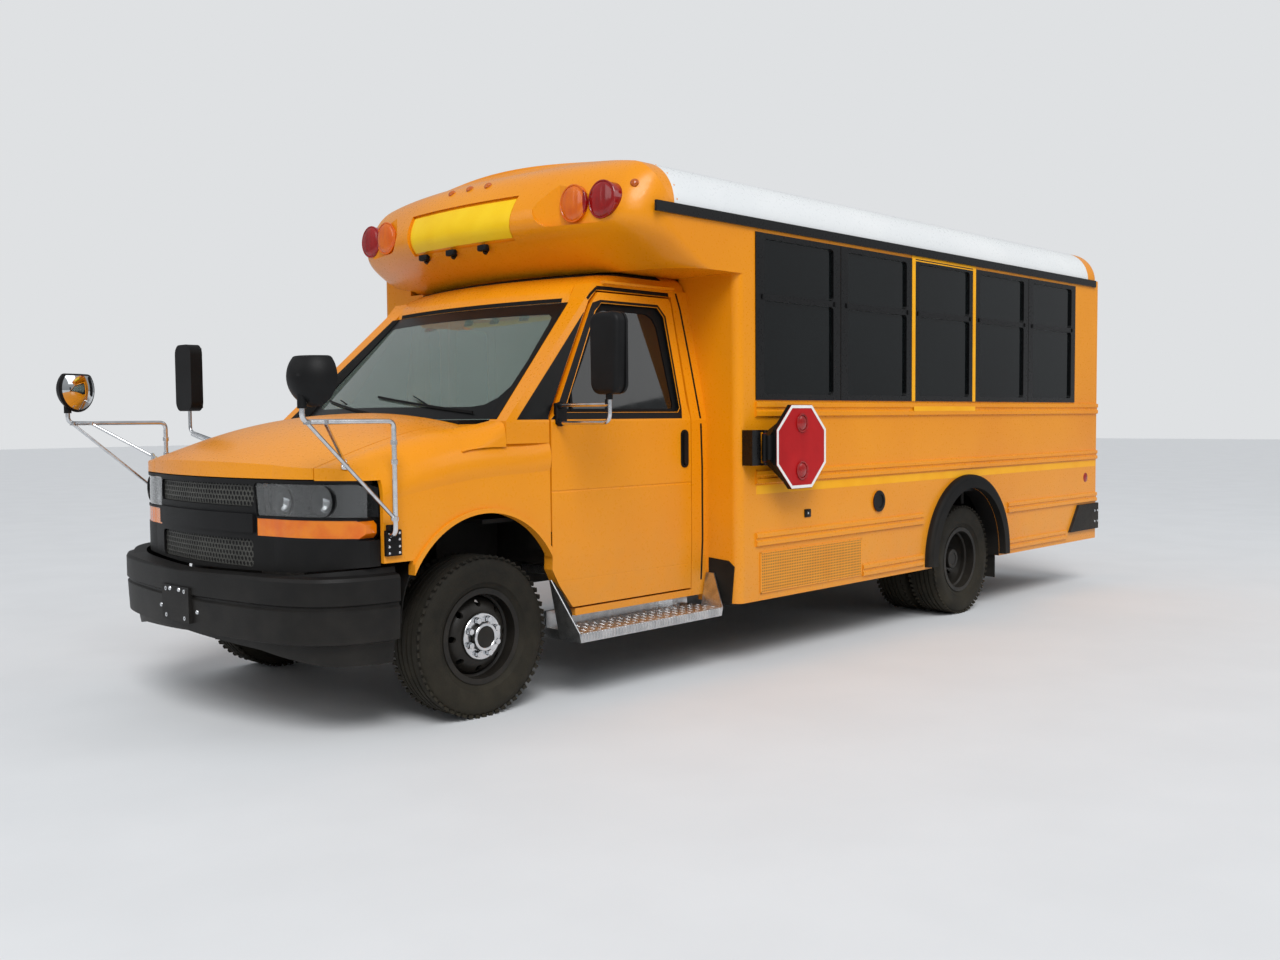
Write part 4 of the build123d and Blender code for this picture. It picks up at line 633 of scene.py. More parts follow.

# Headlamp: a dark housing, two dark bowls with the bright lower halves of their reflectors, and a clear outer
# lens
head_view = [(462, 957), (447, 1085), (458, 1095), (938, 1095), (964, 1078), (964, 957)]
bowl_profile = [(0, 4), (40, 8), (60, 22), (66, 38), (69, 38), (63, 18), (42, 4), (0, 0), (0, 4)]
mirror_profile = [(0, 5), (20, 7), (36, 12), (46, 22), (48, 22), (38, 9), (20, 4), (0, 3), (0, 5)]
for side, name in SIDES:
    view = [(side * y, z) for y, z in head_view]
    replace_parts(nose_sheet(view, 40, 62, 6, "headlamp_housing_" + name, HOUSING), "headlamps")
    nose_sheet(view, 25, 6, 3, "headlamp_lens_" + name, LENS_HEAD)
    bowls, mirrors = bmesh.new(), bmesh.new()
    for y in (596, 800):
        centre = at(nose_x(y, 52), side * y, 1024)
        # A deep dark bowl, and the bright lower half of its reflector
        spun(bowls, bowl_profile, centre, (1, side * 0.12, 0), 28)
        spun(mirrors, mirror_profile, centre, (1, side * 0.12, 0), 28)
        for offset, normal in (((0, 0, 0.006), (0, side * 0.25, 1)), ((0, side * 0.026, 0), (0, side, 0)),
                               ((0, side * -0.026, 0), (0, -side, 0))):
            near = [vertex for vertex in mirrors.verts if (vertex.co - centre).length < 0.08]
            cut_off(mirrors, near, centre + Vector(offset), normal)
    piece("headlamp_bowls_" + name, bowls, PLASTIC_GLOSS, 40)
    piece("headlamp_reflectors_" + name, mirrors, BRIGHT, 40)
    # Divider between the two bowls
    divider = bmesh.new()
    for z in range(965, 1085, 20):
        y = 716 - (z - 965) * 0.16
        low, high = at(nose_x(y, 60), side * y - 4, z), at(nose_x(y, 26), side * y + 4, z + 21)
        block(divider, low, high, 0.001, 1)
    piece("headlamp_divider_" + name, divider, HOUSING)

# -------- wheels and tyres

tread_section = [
    (76, 204), (84, 226), (96, 246), (101, 250), (103, 262), (108, 282), (111, 302), (110, 320),
    (106, 336), (99, 350), (94, 358), (84, 364), (74, 367), (55, 369), (53, 360), (45, 360),
    (43, 370.5), (24, 371.5), (22, 361), (14, 361), (12, 371.8),
]
tread_section += [(-across, radius) for across, radius in reversed(tread_section)]


def make_tyre(mesh, x, y):
    """Round-shouldered radial with four rain grooves and a row of shoulder blocks on each side."""
    profile = [(radius, across) for across, radius in tread_section]
    profile.append(profile[0])
    spun(mesh, profile, at(x, y, HUB_Z), (0, 1, 0), 80)
    for index in range(TREAD_BLOCKS):
        angle = 2 * math.pi * index / TREAD_BLOCKS
        for side, slant in ((1, 0.35), (-1, -0.35)):
            spin = Matrix.Rotation(angle + (0.05 if side < 0 else 0.0), 4, "Y")
            place = Matrix.Translation(at(x, y, HUB_Z)) @ spin @ Matrix.Translation((0, side * 0.087, 0.3615))
            place = place @ Matrix.Rotation(side * 0.42, 4, "X") @ Matrix.Rotation(slant, 4, "Z")
            bmesh.ops.create_cube(mesh, size=1.0, matrix=place @ Matrix.Diagonal((0.021, 0.036, 0.010, 1)))


# Columns: piece, node that it stands for, body, axle x, tyre centres
wheel_table = [
    ("tread_front_left", "tyre_front_left", "front_wheel_left", 0, [873]),
    ("tread_front_right", "tyre_front_right", "front_wheel_right", 0, [-873]),
    ("treads_rear_left", "tyres_rear_left", "rear_wheels_left", REAR_AXLE, [1079, 815]),
    ("treads_rear_right", "tyres_rear_right", "rear_wheels_right", REAR_AXLE, [-1079, -815]),
]
for name, node, body, axle, centres in wheel_table:
    mesh = bmesh.new()
    for y in centres:
        make_tyre(mesh, axle, y)
    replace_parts(piece(name, mesh, TYRE, 35, body), node)
    side = 1 if centres[0] > 0 else -1
    face = 957 if axle == 0 else 969
    nuts = bmesh.new()
    for index in range(8):
        angle = 2 * math.pi * (index + 0.5) / 8
        centre = at(axle + BOLT_CIRCLE * math.cos(angle), side * face, HUB_Z + BOLT_CIRCLE * math.sin(angle))
        disc(nuts, centre, (0, side, 0), 0.0165, 0.005, sides=20)
        disc(nuts, centre, (0, side, 0), 0.0155, 0.026, 0.002, sides=6)
    piece(name + "_lug_nuts", nuts, BRIGHT, body=body)
    trim = bmesh.new()
    if axle == 0:
        spun(trim, ring_profile(65, 107, 5, 2), at(axle, side * 957, HUB_Z), (0, side, 0), 48)
        spun(trim, ring_profile(50, 63.5, 4, 1.5), at(axle, side * 985, HUB_Z), (0, side, 0), 40)
        piece(name + "_ring", trim, BRIGHT, 35, body)
    else:
        spun(trim, ring_profile(40, 65, 4, 2), at(axle, side * 1110, HUB_Z), (0, side, 0), 40)
        piece(name + "_cap", trim, WHEEL, 35, body)

# -------- front cap: lamps, sign and marker lights

cap_skin = skin_of("front_cap")
# Blank sign panel: bright yellow sheet in the cap's recess
panel_corners = [at(-300, -442, 2505), at(-300, 442, 2505), at(-300, 421, 2310), at(-300, -421, 2310)]
panel = flat_sheet(panel_corners, [(1, 30), (2, 30)])
drape(panel, cap_skin, BACK, 0.003)
thicken(panel, 0.002)
piece("sign_panel", panel, SIGN_YELLOW, 30)

# Columns: y, z, x of each warning lens
for y, z, x in ((810, 2444, -742), (996, 2444, -762)):
    for side, name in SIDES:
        rim = bmesh.new()
        spun(rim, ring_profile(86, 95, 6, 2), at(x - 3, side * y, z), (1, 0, 0), 40)
        spun(rim, dome_profile(86, 12), at(x, side * y, z), (1, 0, 0), 40)
        piece("warning_bezel_%d_%s" % (y, name), rim, LENS_WARN, 35)
# Marker lights: three along the top of the cap, one at each side, and three dark pods under the sign
markers, pods = bmesh.new(), bmesh.new()
for y, z in ((0, 2622), (157, 2618), (-157, 2618), (1118, 2520), (-1118, 2520)):
    stud(markers, [(0, 0), (22, 0), (21, 7), (16, 12), (8, 15), (0, 16)], cap_skin, at(-300, y, z), BACK,
         24)
for y in (-62, 205, -330):
    place, normal = seat(cap_skin, at(-300, y, 2272), BACK)
    spun(pods, [(0, -4), (13, -4), (13, 30), (0, 30)], place, normal, 16)
    block(pods, place + Vector((0.012, -0.034, -0.014)), place + Vector((0.046, 0.034, 0.020)), 0.008, 3)
piece("marker_lights", markers, LENS_AMBER, 35)
piece("marker_pods", pods, PLASTIC, 35)

# -------- body trim

body_skin = skin_of("body_sides", "window_frames", "rub_rails", "end_walls", "front_cap", "roof", "rear_cap")


def on_side(side, x, z):
    """A point outside the body's side wall, to be moved on to it."""
    return at(x, side * 1700, z)


# Emergency exit window: bright tape down both posts and across the top of the third window
front, rear = -3310.4, -4118.6
exit_runs = [[(front - 9, 1457), (front - 9, 2360)], [(rear + 9, 1457), (rear + 9, 2360)],
             [(front + 12, 2366), (rear - 12, 2366)]]
for side, name in SIDES:
    for index, run in enumerate(exit_runs):
        strip([on_side(side, x, z) for x, z in run], 40, (0, -side, 0), body_skin, 1.0, 1.5,
              "exit_tape_%s_%d" % (name, index), TAPE)
    for index, (start, end, z, width) in enumerate(((-1702, -6155, 968, 48), (-3312, -4116, 1409, 30))):
        strip([on_side(side, start, z), on_side(side, end, z)], width, (0, -side, 0), body_skin, 0.8, 0.8,
              "side_tape_%s_%d" % (name, index), TAPE)

# A latch at each end of every sash
latches = bmesh.new()
for side in (1, -1):
    for index in range(0 if side > 0 else 1, 5):
        start = WINDOW_X - index * WINDOW_PITCH
        end = start - WINDOW_PITCH
        for x in (start - 62, end + 62):
            block(latches, at(x - 9, side * 1224, 2002), at(x + 9, side * 1232, 2030), 0.002)
piece("sash_latches", latches, PLASTIC)
# Rivets along the seam of cap and roof, and screws along the drip rails
rivets = bmesh.new()
rivet = [(0, 0), (5, 0), (4, 1.6), (2, 2.4), (0, 2.6)]
rail_rivet = [(radius * 1.3, along * 1.3) for radius, along in rivet]
for side in (1, -1):
    for index in range(26):
        angle = math.pi / 2 * index / 25.5
        source = at(-1072, side * 2000 * math.cos(angle), 2430 + 2000 * math.sin(angle))
        stud(rivets, rivet, body_skin, source, (at(-1072, 0, 2300) - source).normalized(), 8)
    for index in range(31):
        for z in (1410, 1037):
            stud(rivets, rail_rivet, body_skin, on_side(side, -1750 - index * 140, z), (0, -side, 0), 8)
piece("seam_rivets", rivets, YELLOW, 40)
# Fuel door ring and the small marker socket on the left side
ring = bmesh.new()
spun(ring, ring_profile(44, 66, 6, 2), at(-2918, 1225, 840), (0, 1, 0), 40)
spun(ring, [(0, 0), (44, 0), (44, 1), (0, 1)], at(-2918, 1225, 840), (0, 1, 0), 40)
block(ring, at(-2203, 1219, 790), at(-2143, 1226, 836), 0.003)
piece("fuel_door_ring", ring, PLASTIC_GLOSS, 35)
socket = bmesh.new()
block(socket, at(-2179, 1225.5, 807), at(-2167, 1227.5, 819), 0.0005, 1)
block(socket, at(-2934, 1220, 838), at(-2902, 1224.5, 846), 0.002)
piece("socket_contacts", socket, BRIGHT)

# Side reflectors, red, near the rear
for side, name in SIDES:
    mesh = bmesh.new()
    spun(mesh, dome_profile(38, 8), at(-5964, side * 1219, 859), (0, side, 0), 32)
    piece("reflector_rear_" + name, mesh, LENS_RED, 35)

# Stop sign: white edge, two flashing lamps above and below the blank middle
def octagon(flats):
    """Corners of an octagon, from the distance of its flats."""
    reach = flats / math.cos(math.pi / 8)
    turns = [math.pi / 8 + index * math.pi / 4 for index in range(8)]
    return [(reach * math.cos(turn), reach * math.sin(turn)) for turn in turns]


face_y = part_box("stop_sign")[1].y * 1000
for index, y in enumerate((face_y + 1.5, face_y - 26.5)):
    ring_pairs = [(at(STOP_X + x0, y, STOP_Z + z0), at(STOP_X + x1, y, STOP_Z + z1))
                  for (x0, z0), (x1, z1) in zip(octagon(227.0), octagon(211.0))]
    band(ring_pairs, True, None, None, 0, 1.0, "stop_sign_edge_%d" % index, SIGN_WHITE, "stop_arm")
# Black edge round the thickness of the sign
rim_pairs = [(at(STOP_X + x, face_y - 1, STOP_Z + z), at(STOP_X + x, face_y - 26, STOP_Z + z))
             for x, z in octagon(229.6)]
band(rim_pairs, True, None, None, 0, 0.6, "stop_sign_rim", PLASTIC, "stop_arm")
# Black shroud behind the sign, drawn in towards the hinge box
shroud = bmesh.new()
outline = [(-1688, 1266), (-1850, 1418), (-2032, 1418), (-2158, 1288), (-2158, 1112), (-2032, 982),
           (-1850, 982), (-1688, 1134)]
face = shroud.faces.new([shroud.verts.new(at(x, face_y - 27, z)) for x, z in outline])
deep = [vertex for vertex in bmesh.ops.extrude_face_region(shroud, geom=[face])["geom"]
        if isinstance(vertex, bmesh.types.BMVert)]
bmesh.ops.translate(shroud, vec=(0, -0.055, 0), verts=deep)
middle = at(-1900, 0, STOP_Z)
for vertex in deep:
    if vertex.co.x < at(-1700, 0, 0).x:
        vertex.co.x += (middle.x - vertex.co.x) * 0.3
        vertex.co.z += (middle.z - vertex.co.z) * 0.3
bmesh.ops.recalc_face_normals(shroud, faces=shroud.faces[:])
block(shroud, at(-1734, face_y - 45, 1134), at(-1669, face_y - 22, 1266), 0.004)
spun(shroud, [(11, 0), (12.8, 0), (12.8, 148), (11, 148), (11, 0)], at(-1668, 1300, 1126), (0, 0, 1), 20)
piece("stop_arm_shroud", shroud, PLASTIC, 30, "stop_arm")
lamps = bmesh.new()
for z in (STOP_Z + 130, STOP_Z - 130):
    spun(lamps, ring_profile(42, 52, 8, 2), at(STOP_X, face_y, z), (0, 1, 0), 32)
    spun(lamps, dome_profile(42, 12), at(STOP_X, face_y, z), (0, 1, 0), 32)
piece("stop_sign_lamps", lamps, LENS_RED, 35, "stop_arm")

# -------- cab trim

# Wipers lie on the windshield
glass_skin = skin_of("windshield")
wipers = bmesh.new()


def bar(mesh, start, end, width, height, taper=1.0):
    """A slim bar between two points, narrower at its end."""
    made = block(mesh, Vector((-0.5, -0.5, -0.5)), Vector((0.5, 0.5, 0.5)))
    along = end - start
    for vertex in made:
        if vertex.co.x > 0:
            vertex.co.y *= taper
            vertex.co.z *= taper
    place = Matrix.Translation((start + end) / 2) @ turned_to(along, (1, 0, 0))
    bmesh.ops.transform(mesh, verts=made,
                        matrix=place @ Matrix.Diagonal((along.length, width / 1000, height / 1000, 1)))


def on_glass(y, z, lift):
    return seat(glass_skin, at(1500, y, z), BACK, lift / 1000)[0]


for y0, y1, z1, y2, y3 in ((560, 250, 1470, 700, -60), (-120, -430, 1460, 0, -640)):
    foot = at(-135, y0, 1372)
    bar(wipers, foot, on_glass(y1, z1, 18), 12, 9, 0.6)
    spun(wipers, [(0, -12), (16, -12), (16, 2), (10, 8), (0, 8)], foot, (0, 0, 1), 16)
    blade = [on_glass(y2 + (y3 - y2) * t / 8, 1392 + (z1 - 1392) * 1.1 * t / 8, 9) for t in range(9)]
    blade = [point for point in blade if point]
    for start, end in zip(blade, blade[1:]):
        bar(wipers, start, end, 7, 12)
piece("wipers", wipers, PLASTIC)

# Door handle
handle = bmesh.new()
for low, high, radius in ((at(-1393, 998, 1098), at(-1333, 1004, 1300), 0.028),
                          (at(-1379, 1001, 1114), at(-1347, 1016, 1284), 0.014)):
    round_edges(handle, edges_along(block(handle, low, high), 1), radius, 8)
piece("door_handle_cover", handle, PLASTIC, 40, "driver_door")

# Mirror glasses
glasses = bmesh.new()
dish = [(0, 36), (30, 34), (60, 27.5), (88, 17), (105, 8.6), (104, 5), (0, 20), (0, 36)]
for y, axis in ((1130, (-0.93, -0.33, 0)), (-1130, (-0.4, 0.92, 0))):
    centre = at(950, y, 1535)
    spun(glasses, dish, centre, axis, 40)
    made = [vertex for vertex in glasses.verts if vertex.co.y * y > 0]
    cut = cut_off(glasses, made, centre + Vector((0, 0, 0.07)), (0, 0, 1))
    bmesh.ops.contextual_create(glasses, geom=[e for e in cut if isinstance(e, bmesh.types.BMEdge)])
piece("crossview_mirror_glass", glasses, MIRROR, 60)
# Columns: piece, body, x, y limits, and the z limits of the two panes
for name, body, x, y0, y1, panes in (
        ("right_mirror_glass", "bus", 202, -1435, -1265, ((1500, 1780), (1440, 1490))),
        ("left_mirror_glass", "driver_door", -476, 1275, 1425, ((1560, 1835), (1490, 1545)))):
    flat_glass = bmesh.new()
    for low, high in panes:
        block(flat_glass, at(x, y0, low), at(x + 4, y1, high), 0.001)
    piece(name, flat_glass, MIRROR, body=body)
# Driver's mirror: a black bracket in the corner of the window, two bent tubes and a moulded head
arm = bmesh.new()
bent_tube(arm, [(-450, 1000, 1344), (-450, 1350, 1344), (-450, 1350, 1496)], 10, 44)
bent_tube(arm, [(-450, 990, 1428), (-450, 1350, 1428)], 9, 1)
piece("driver_mirror_arm", arm, BRIGHT, 40, "driver_door")
holder = bmesh.new()
block(holder, at(-502, 984, 1336), at(-432, 1012, 1440), 0.008, 3)
for z in (1344, 1428):
    spun(holder, [(0, 0), (17, 0), (17, 18), (13, 26), (0, 26)], at(-450, 1006, z), (0, 1, 0), 16)
    spun(holder, ring_profile(9, 14, 24, 2), at(-450, 1338, z if z > 1400 else 1392), (0, 0, 1), 14)
piece("driver_mirror_holder", holder, PLASTIC, 40, "driver_door")
head = bmesh.new()
shell = block(head, Vector((-0.033, -0.095, -0.188)), Vector((0.035, 0.095, 0.188)))
round_edges(head, edges_along(shell, 0), 0.05, 6)
round_edges(head, [e for e in head.edges if all(v.co.x > 0.03 for v in e.verts)], 0.026, 5)
for vertex in head.verts:
    if vertex.co.z < 0:
        vertex.co.y *= 1 - 0.098 * (vertex.co.z / 0.188) ** 2
# Raised rim that holds the glass at the back
rim = block(head, Vector((-0.033, -0.098, -0.186)), Vector((-0.019, 0.098, 0.186)))
round_edges(head, edges_along(rim, 0), 0.045, 6)
spun(head, [(0, -24), (15, -24), (17, -10), (17, 6), (0, 6)], Vector((-0.008, 0, -0.188)), (0, 0, 1), 16)
bmesh.ops.translate(head, vec=at(-440, 1350, 1662), verts=head.verts[:])
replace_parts(piece("driver_mirror_head", head, PLASTIC, 40, "driver_door"), "driver_mirror")
# Black mirror brackets with their screws on both fenders
brackets, bolts = bmesh.new(), bmesh.new()
for side in (1, -1):
    block(brackets, at(465, side * 985, 790), at(543, side * 1009, 900), 0.003)
    block(brackets, at(505, side * 1005, 900), at(545, side * 1035, 925), 0.004)
    for x in (478, 530):
        for z in (803, 830, 860, 887):
            spun(bolts, [(0, 0), (6, 0), (6, 3), (4, 5), (0, 5)], at(x, side * 1009, z), (0, side, 0), 10)
    for z in (942, 1180, 1262):
        spun(bolts, ring_profile(10.5, 15, 20, 2), at(525, side * 1050, z), (0, 0, 1), 16)
# Mirror tubes of bent stainless pipe, each with two braces down to the front fender
tubes = bmesh.new()
for side in (1, -1):
    post = [(525, 1001, 880), (525, 1050, 882), (525, 1050, 1360), (1000, 1130, 1360), (1000, 1130, 1432)]
    bent_tube(tubes, [(x, side * y, z) for x, y, z in post], 11, 34)
    for start, end in (((977, 1127, 1356), (529, 1052, 952)), ((890, 1112, 1358), (668, 900, 1186))):
        bent_tube(tubes, [(start[0], side * start[1], start[2]), (end[0], side * end[1], end[2])], 8, 1, 12)
    for x, y, z in ((977, 1127, 1350), (890, 1112, 1350), (533, 1054, 946)):
        spun(bolts, ring_profile(7, 15, 18, 3), at(x, side * y, z), (0, 0, 1), 14)
    # Foot clamp on the fender beside the hood
    spun(bolts, [(0, -26), (17, -26), (17, -14), (11, -8), (11, 6), (6, 12), (0, 12)],
         at(668, side * 900, 1190), (0.3, side * 0.4, 1), 16)
for points in ([(150, 910, 1196), (180, 960, 1216), (240, 1350, 1306), (240, 1350, 1430)],
               [(130, 920, 1160), (150, 960, 1180), (240, 1330, 1290)]):
    bent_tube(tubes, [(x, -y, z) for x, y, z in points], 10, 30)
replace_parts(piece("mirror_tubes_bent", tubes, BRIGHT, 40), "mirror_tubes")
piece("mirror_brackets", brackets, PLASTIC)
piece("mirror_screws", bolts, BRIGHT)

# Running board: raised lozenges on the tread, and cleats along the front lip
lozenges = bmesh.new()
for row in range(9):
    for column in range(34):
        x = -468 - column * 30 - (15 if row % 2 else 0)
        y = 912 + row * 27
        turn = Matrix.Rotation(math.radians(45 if (row + column) % 2 else -45), 4, "Z")
        place = Matrix.Translation(at(x, y, 345.6)) @ turn @ Matrix.Diagonal((0.024, 0.0075, 0.0018, 1))
        bmesh.ops.create_cone(lozenges, cap_ends=True, segments=6, radius1=0.5, radius2=0.32, depth=1.0,
                              matrix=place)
piece("tread_lozenges", lozenges, TREAD_PLATE)
lip = bmesh.new()
for column in range(52):
    x = -452 - column * 20
    block(lip, at(x - 8, 1148, 306), at(x + 8, 1153, 342), 0.0015, 1)
piece("step_lip_cleats", lip, TREAD_PLATE)

# Bumper bolts and the screw eyes of the blank plate's bracket
bolts = bmesh.new()
bumper_skin = skin_of("front_bumper")
for y, z in ((44, 610), (-44, 610), (175, 520), (-175, 520)):
    stud(bolts, [(0, 0), (11, 0), (11, 2), (8, 7), (3, 9), (0, 9)], bumper_skin, at(1400, y, z), BACK, 16)
for y in (89, -89):
    for z in (484.5, 605.5):
        spun(bolts, ring_profile(4, 10, 2, 0.5), at(992, y, z), (1, 0, 0), 16)
piece("bumper_bolts", bolts, BRIGHT, 40)

# Heater screen: perforated steel, 5 mm holes drawn at a 16 mm pitch so that they show
screen = bmesh.new()
block(screen, at(-2724, 1222.5, 402), at(-1734, 1225, 621), 0.001, 1)
piece("heater_screen", screen, PERFORATED)
rim = bmesh.new()
for low, high in (((-2728, 398), (-1730, 406)), ((-2728, 617), (-1730, 625)),
                  ((-2728, 398), (-2720, 625)), ((-1738, 398), (-1730, 625))):
    block(rim, at(low[0], 1222, low[1]), at(high[0], 1226.5, high[1]), 0.001, 1)
piece("heater_screen_rim", rim, YELLOW)

# Black trim round the door window: a flat frame on the door, and a rubber seal on the pane.
# Columns: x and z of the outer line, x and z of the inner line
door_trim = [
    (-407, 1361, -502, 1393), (-439.5, 1388, -508, 1416), (-782, 1913, -815, 1908),
    (-807, 1948, -843, 1928), (-868, 1966, -870, 1953), (-1296, 1966, -1292, 1953),
    (-1346, 1906, -1333, 1902), (-1355, 1410, -1343, 1414), (-1346, 1361, -1321, 1392),
]
pane_seal = [
    (-503, 1396, -532, 1412), (-660, 1647, -692, 1647), (-818, 1901, -842, 1884), (-842, 1924, -866, 1904),
    (-871, 1948, -902, 1914), (-1180, 1948, -1180, 1914), (-1288, 1948, -1218, 1911),
    (-1310, 1924, -1258, 1890), (-1329, 1899, -1281, 1846), (-1334, 1650, -1296, 1650),
    (-1339, 1440, -1311, 1440), (-1338, 1416, -1309, 1424), (-1320, 1396, -1298, 1411),
]
door_skin, pane_skin = skin_of("driver_door"), skin_of("driver_door_glass")
cab_skin, quarter_skin = skin_of("cab_sides", "cab_roof"), skin_of("body_glass")


def side_trim(table, side, closed, skin, lift, depth, name, material, body="bus"):
    """A flat trim on one side of the cab, from the x and z of its two lines."""
    band([(at(x0, side * 1400, z0), at(x1, side * 1400, z1)) for x0, z0, x1, z1 in table], closed, skin,
         (0, -side, 0), lift, depth, name, material, body)


side_trim(door_trim, 1, True, door_skin, 1.2, 1.0, "door_window_trim", PLASTIC_GLOSS, "driver_door")
side_trim(pane_seal, 1, True, pane_skin, 4.5, 4.0, "door_window_seal", RUBBER, "driver_door")
# Rubber channel in the depth of the frame, between the trim and the pane
channel = [(-504, 1396.5), (-820.5, 1902.5), (-871.2, 1948.3), (-1288.8, 1948.3), (-1328.2, 1899.2),
           (-1338.2, 1415.8), (-1319.2, 1396.5)]
walls = [(at(x, 1000 - 0.211 * (z - 1350), z), at(x, 976 - 0.211 * (z - 1350), z)) for x, z in channel]
band(walls, True, None, None, 0, 0.8, "door_window_channel", RUBBER, "driver_door")
# Upright bar that closes off the mirror's corner of the window
bar_line = [(-560, 1400, -576, 1400), (-576, 1512, -592, 1540)]
side_trim(bar_line, 1, False, pane_skin, 8.0, 7.0, "door_window_bar", RUBBER, "driver_door")

# The black of the window runs forward over the windshield post, as far as the post's yellow edge
post_left = [
    (-196, 1361, -395, 1361), (-212, 1378, -395, 1376), (-480, 1640, -570, 1640), (-736, 1893, -740, 1895)]
post_right = [
    (-196, 1361, -516, 1361), (-234, 1397, -516, 1397), (-480, 1640, -658, 1640), (-744, 1899, -826, 1904)]
side_trim(post_left, 1, False, cab_skin, 1.2, 1.0, "post_trim_left", PLASTIC_GLOSS)
side_trim(post_right, -1, False, cab_skin, 1.2, 1.0, "post_trim_right", PLASTIC_GLOSS)
# Quarter window on the right: a seal on its pane
quarter_seal = [
    (-521, 1396, -550, 1414), (-676, 1650, -706, 1650), (-828, 1903, -850, 1882),
    (-871, 1948, -890, 1916), (-959, 1949, -934, 1916), (-959, 1396, -934, 1414)]
side_trim(quarter_seal, -1, True, quarter_skin, 4.5, 4.0, "quarter_window_seal", RUBBER)

# Windshield: black printed border on the glass, wider below, with large round lower corners.
# Columns: y and z of the outer line, y and z of the inner line
half_border = [
    (0, 1366, 0, 1428), (300, 1366, 300, 1426), (560, 1366, 560, 1424), (680, 1366, 660, 1424),
    (770, 1366, 722, 1434), (862, 1366, 764, 1466), (853, 1410, 784, 1520), (843, 1460, 790, 1560),
    (800, 1660, 753, 1700), (763, 1840, 718, 1850), (741, 1954, 704, 1878), (690, 1954, 676, 1894),
    (560, 1954, 560, 1896), (300, 1954, 300, 1898), (0, 1954, 0, 1899),
]
loop = half_border + [(-a, b, -c, d) for a, b, c, d in reversed(half_border[1:-1])]
band([(at(500, a, b), at(500, c, d)) for a, b, c, d in loop], True, glass_skin, BACK, 1.2, 0.8,
     "windshield_border", PLASTIC_GLOSS)
# Rubber moulding between each edge of the glass and the windshield post
for side, name in SIDES:
    mesh, rows = bmesh.new(), []
    for index in range(13):
        z = 1366 + 588 * index / 12
        inner = 872 - 0.2114 * (z - 1362)
        front = -126.5 - 1.037 * (z - 1356)
        pane = seat(glass_skin, at(500, side * (inner - 26), z), BACK, 0.003)[0]
        reach = inner + 48 - 34 * index / 12
        rows.append([mesh.verts.new(point) for point in
                     (pane, at(front, side * (inner - 3), z), at(front, side * reach, z))])
    join_rows(mesh, rows)
    thicken(mesh, 0.002)
    piece("windshield_moulding_" + name, mesh, RUBBER)
# Cowl corner: the fender's skin rises to the foot of the windshield post.
# Columns: y, and how much of the rise is left there
fairing_table = [(868, 1.0), (900, 1.0), (935, 1.0), (962, 0.97),
                 (980, 0.88), (990, 0.7), (996, 0.42), (998, 0.0)]
fender_skin = skin_of("fenders")
for side, name in SIDES:
    mesh, rows = bmesh.new(), []
    for y, share in fairing_table:
        row = []
        for index in range(13):
            x, fall = -128 + 250 * index / 12, (1 - index / 12) ** 2
            foot = seat(fender_skin, at(x, side * min(y, 985), 1700), (0, 0, -1))[0].z
            rise = max(0.0, 1.356 - foot) * share * fall - (0.002 if index == 12 else 0.0)
            row.append(mesh.verts.new((at(x, 0, 0).x, side * y / 1000, foot + rise)))
        rows.append(row)
    join_rows(mesh, rows)
    thicken(mesh, 0.002)
    piece("cowl_corner_" + name, mesh, YELLOW, 50)
# Rubber strip along the top of the glass
top_run = [at(500, 745 - 1490 * index / 30, 1969.5) for index in range(31)]
strip(top_run, 21, BACK, cab_skin, 1.0, 4.0, "windshield_top_seal", RUBBER)

# Black gutter over the door, from the corner of the glass to the rear
for side, name in SIDES:
    for line, width, depth, gutter in (
            ([(-856, 2027), (-900, 2029), (-1400 if side > 0 else -990, 2027)], 20, 7.0, "cab_gutter_"),
            ([(-778, 1966), (-806, 1992), (-856, 2027)], 14, 5.0, "cab_gutter_front_")):
        strip([at(x, side * 1400, z) for x, z in line], width, (0, -side, 0), cab_skin, 1.0, depth,
              gutter + name, RUBBER)
rear_seal = [(-1462, 2040), (-1478, 1950), (-1490, 1700), (-1500, 1400), (-1512, 1100), (-1512, 700),
             (-1505, 480)]
strip([at(x, 1400, z) for x, z in rear_seal], 14, (0, -1, 0), cab_skin, 0.5, 4.0, "cab_rear_seal", RUBBER)

# Black seal where the cab roof meets the underside of the cap
roof_skin = skin_of("cab_roof")
mesh, rows = bmesh.new(), []
for index in range(61):
    angle = math.radians(-96 + 192 * index / 60)
    toward = Vector((-math.cos(angle), -math.sin(angle), 0))
    places = [seat(roof_skin, at(-1300, 0, z) - toward * 2, toward, 0.004)[0] for z in (2106, 2125)]
    if all(places):
        rows.append([mesh.verts.new(place) for place in places])
join_rows(mesh, rows)
thicken(mesh, 0.005)
piece("cap_underside_seal", mesh, RUBBER)


def arch_liner(radius, widths, side, turn, steps, centre, thickness):
    """A moulded tunnel over a wheel: a line of y places swept round the axle's direction."""
    mesh = bmesh.new()
    line = [mesh.verts.new((radius, side * y / 1000, 0)) for y in widths]
    edges = [mesh.edges.new(pair) for pair in zip(line, line[1:])]
    bmesh.ops.spin(mesh, geom=line + edges, cent=(0, 0, 0), axis=(0, 1, 0), dvec=(0, 0, 0),
                   angle=-math.radians(turn), steps=steps, use_merge=False, use_duplicate=False)
    bmesh.ops.translate(mesh, vec=centre, verts=mesh.verts[:])
    thicken(mesh, thickness)
    return mesh


